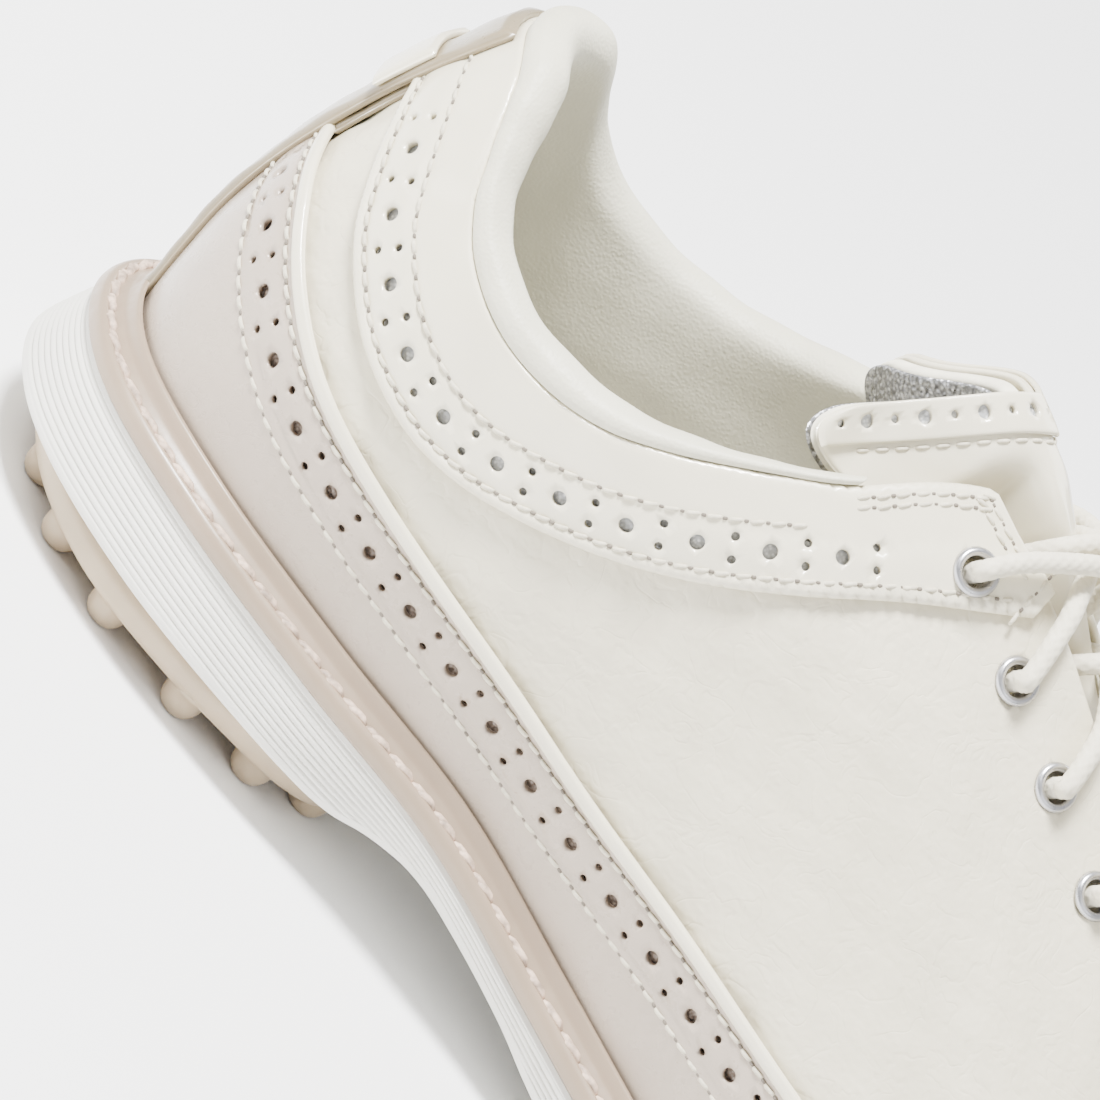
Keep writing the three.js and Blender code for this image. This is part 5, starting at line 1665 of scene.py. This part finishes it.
def midsole():
    k = LOOP_K
    count, rows = len(k), 170
    side = by_side(k)
    flare_at = value_at(FLARE, side)
    bed = foot(k, 0.0)[:, 2] - GAP
    levels = np.array([0, 0.1, 0.45, 0.85, 1])
    outs = np.stack([flare_at - 1.2, flare_at, mix(flare_at, WELT_OUT - 0.8, 0.5) + 0.3,
                     0 * flare_at + WELT_OUT - 0.6, 0 * flare_at + WELT_OUT - 1], 0)
    rings = []
    for t in np.concatenate([[0, 0.012, 0.03], np.linspace(0.05, 0.985, rows - 5), [0.995, 1]]):
        u = np.interp(t, levels, np.arange(5))
        out = along(outs, u)
        flat = rim(k, out, 0)
        low = value_at(LOW, flat[:, 0])
        z = mix(low, bed, t)
        h = bed - z
        groove = np.abs(np.sin(np.pi * (h - 0.9) / RIDGE_PITCH)) ** 0.55 - 1
        tall = bed - low
        here = ease(h, 0.7, 1.1) * (1 - ease(h, tall - 2.4, tall - 1.8))
        out = out + groove * RIDGE_DEEP * here - 1.3 * (1 - edge_round(np.full(count, t * 14), 1.6))
        rings.append(rim(k, out, z))
    grid = np.stack(rings, 0)
    n = len(rings)
    faces = [f[::-1] for f in grid_faces(n, count, closed_cols=True)]
    faces += cap_faces(count, 0, False) + cap_faces(count, (n - 1) * count, True)
    piece("ridged_midsole", grid.reshape(-1, 3), faces, MIDSOLE, replaces=("midsole",), slot="midsole_foam")


midsole()

OUTSOLE_BOTTOM, NUB_R = 4.4, 3.5
HEEL_PAD = [[2, 0], [5.5, -15], [14.5, -29], [28.5, -37.5], [45, -38.2], [58, -35.4], [70, -31],
            [77, -22], [80, 0], [77, 22], [70, 31], [58, 35.4], [45, 38.2], [28.5, 37.5], [14.5, 29], [5.5, 15]]
FOREFOOT_PAD = [[134, 0], [138, -26], [146, -38], [164, -44], [196, -51.5], [232, -52.5], [265, -44],
                [288, -26], [297, -7], [286, 14], [262, 34], [230, 46], [194, 53.5], [164, 49], [146, 43], [138, 28]]
HEEL_NUBS = [[11.8, -17], [11.8, 17], [21, -28], [21, 28], [34, -33], [34, 33], [51, -33], [51, 33],
             [65, -28], [65, 28], [74, -18], [74, 18], [30, 0], [54, 0]]
FOREFOOT_NUBS = [[144, -27], [144, 28], [160, -38], [160, 42], [180, -44], [181, 46], [202, -46],
                 [203, 45], [223, -46], [224, 40], [243, -42], [245, 32], [260, -34], [263, 20], [275, -23], [278, 7],
                 [171, 0], [200, 0], [229, -3], [254, -8]]


def sole_bottom(x):
    return np.maximum(OUTSOLE_BOTTOM - 0.6, value_at(LOW, x) - GAP - 2)


def nub(x, y, low, top, segments=28):
    profile = [(0.75, 0), (1.5, 0.02), (2.1, 0.22), (2.65, 0.65), (3.1, 1.3), (3.38, 2.1), (NUB_R, 3.0),
               (NUB_R + 0.1, top - low - 1.4), (NUB_R + 0.7, top - low - 1.1), (NUB_R + 0.7, top - low)]
    a = np.arange(segments) * 2 * np.pi / segments
    rings = [np.stack([x + r * np.cos(a), y + r * np.sin(a), 0 * a + low + z], 1) for r, z in profile]
    faces = [f[::-1] for f in grid_faces(len(profile), segments, closed_cols=True)]
    faces += [tuple(range(segments))[::-1], tuple(range((len(profile) - 1) * segments, len(profile) * segments))]
    return np.concatenate(rings), faces


def sole_pad(name, outline, bottom_at, top_at, nubs, node):
    loop = along(outline, np.arange(0, len(outline), 0.1), True)
    middle = loop.mean(0)
    out_way = unit(loop - middle)
    count = len(loop)
    rings = []
    for inset, share in ((-0.6, 1), (-0.5, 0.6), (-0.2, 0.3), (0.1, 0.12), (0.6, 0.02), (1.2, 0)):
        xy = loop - out_way * inset
        z = mix(bottom_at(xy[:, 0]), top_at(xy[:, 0]), share)
        rings.append(np.column_stack([xy, z]))
    for grow in (0.8, 0.6, 0.4, 0.2, 0.05):
        xy = middle + (loop - out_way * 1.2 - middle) * grow
        rings.append(np.column_stack([xy, bottom_at(xy[:, 0])]))
    top = []
    for grow in (0.05, 0.2, 0.4, 0.6, 0.8):
        xy = middle + (loop - middle) * grow
        top.append(np.column_stack([xy, top_at(xy[:, 0])]))
    rings = top + rings
    n = len(rings)
    pad = (np.concatenate(rings), grid_faces(n, count, closed_cols=True)
           + [tuple(range(count))[::-1], tuple(range((n - 1) * count, n * count))])
    bases = [float(bottom_at(np.array([x]))[0]) for x, _ in nubs]
    dots = [nub(x, y, max(0, base - OUTSOLE_BOTTOM), base + 1.2) for (x, y), base in zip(nubs, bases)]
    piece(name, *merged(pad, *dots), RUBBER, replaces=(node,), slot="rubber_sole")


HEEL_PAD_TOP = 9.2
sole_pad("heel_rubber", HEEL_PAD, lambda x: 0 * x + OUTSOLE_BOTTOM, lambda x: 0 * x + HEEL_PAD_TOP, HEEL_NUBS,
         "outsole_heel")
sole_pad("forefoot_rubber", FOREFOOT_PAD, sole_bottom, lambda x: value_at(LOW, x) - GAP, FOREFOOT_NUBS,
         "outsole_forefoot")

# ---------- inner parts kept from the CAD ----------
for node, material in (("insole_board", BOARD), ("toe_puff", BOARD), ("heel_counter", BOARD), ("shank", STEEL),
                       ("collar_foam", FOAM)):
    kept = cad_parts[node]
    kept.data.materials.clear()
    kept.data.materials.append(material)

# ---------- sock ----------
SOCK_LOW, SOCK_TOP = 2.4, 6.6


def sock():
    """The cushion underfoot: a little dished, with a rounded rim."""
    k = np.concatenate([[0, 0.03, 0.08], np.linspace(0.16, HALF - 0.16, 110), [HALF - 0.08, HALF - 0.03, HALF]])
    u = np.concatenate([[0, 0.004, 0.012, 0.03], np.linspace(0.06, 0.94, 44), [0.97, 0.988, 0.996, 1]])
    grids = []
    for h in (SOCK_TOP, SOCK_LOW):
        a = wall_point(k, h, lining_off(k) - LINING - 0.5)
        b = wall_point(COUNT - k, h, lining_off(COUNT - k) - LINING - 0.5)
        line = mix(a[:, None], b[:, None], u[None, :, None])
        wide = np.linalg.norm(a - b, axis=1)[:, None]
        from_rim = np.minimum(u, 1 - u)[None] * wide
        line[..., 2] = ((a + b) / 2)[:, None, 2]
        if h == SOCK_TOP:
            line[..., 2] += -1.3 * (1 - edge_round(from_rim, 1.6)) - 0.5 * ease(from_rim, 2, 24)
            line[..., 2] += 0.15 * waves(line, 19, 11)
        grids.append(line)
    made = piece("sock_cushion", *slab(*grids), SOCK, replaces=("sockliner",), slot="sock")
    weld(made, 1e-5)


sock()

# ---------- floor ----------
bpy.ops.mesh.primitive_plane_add(size=8, location=(0, 0, 0))
ground = bpy.context.object
ground.name = "floor"
ground.data.materials.append(floor_paint())
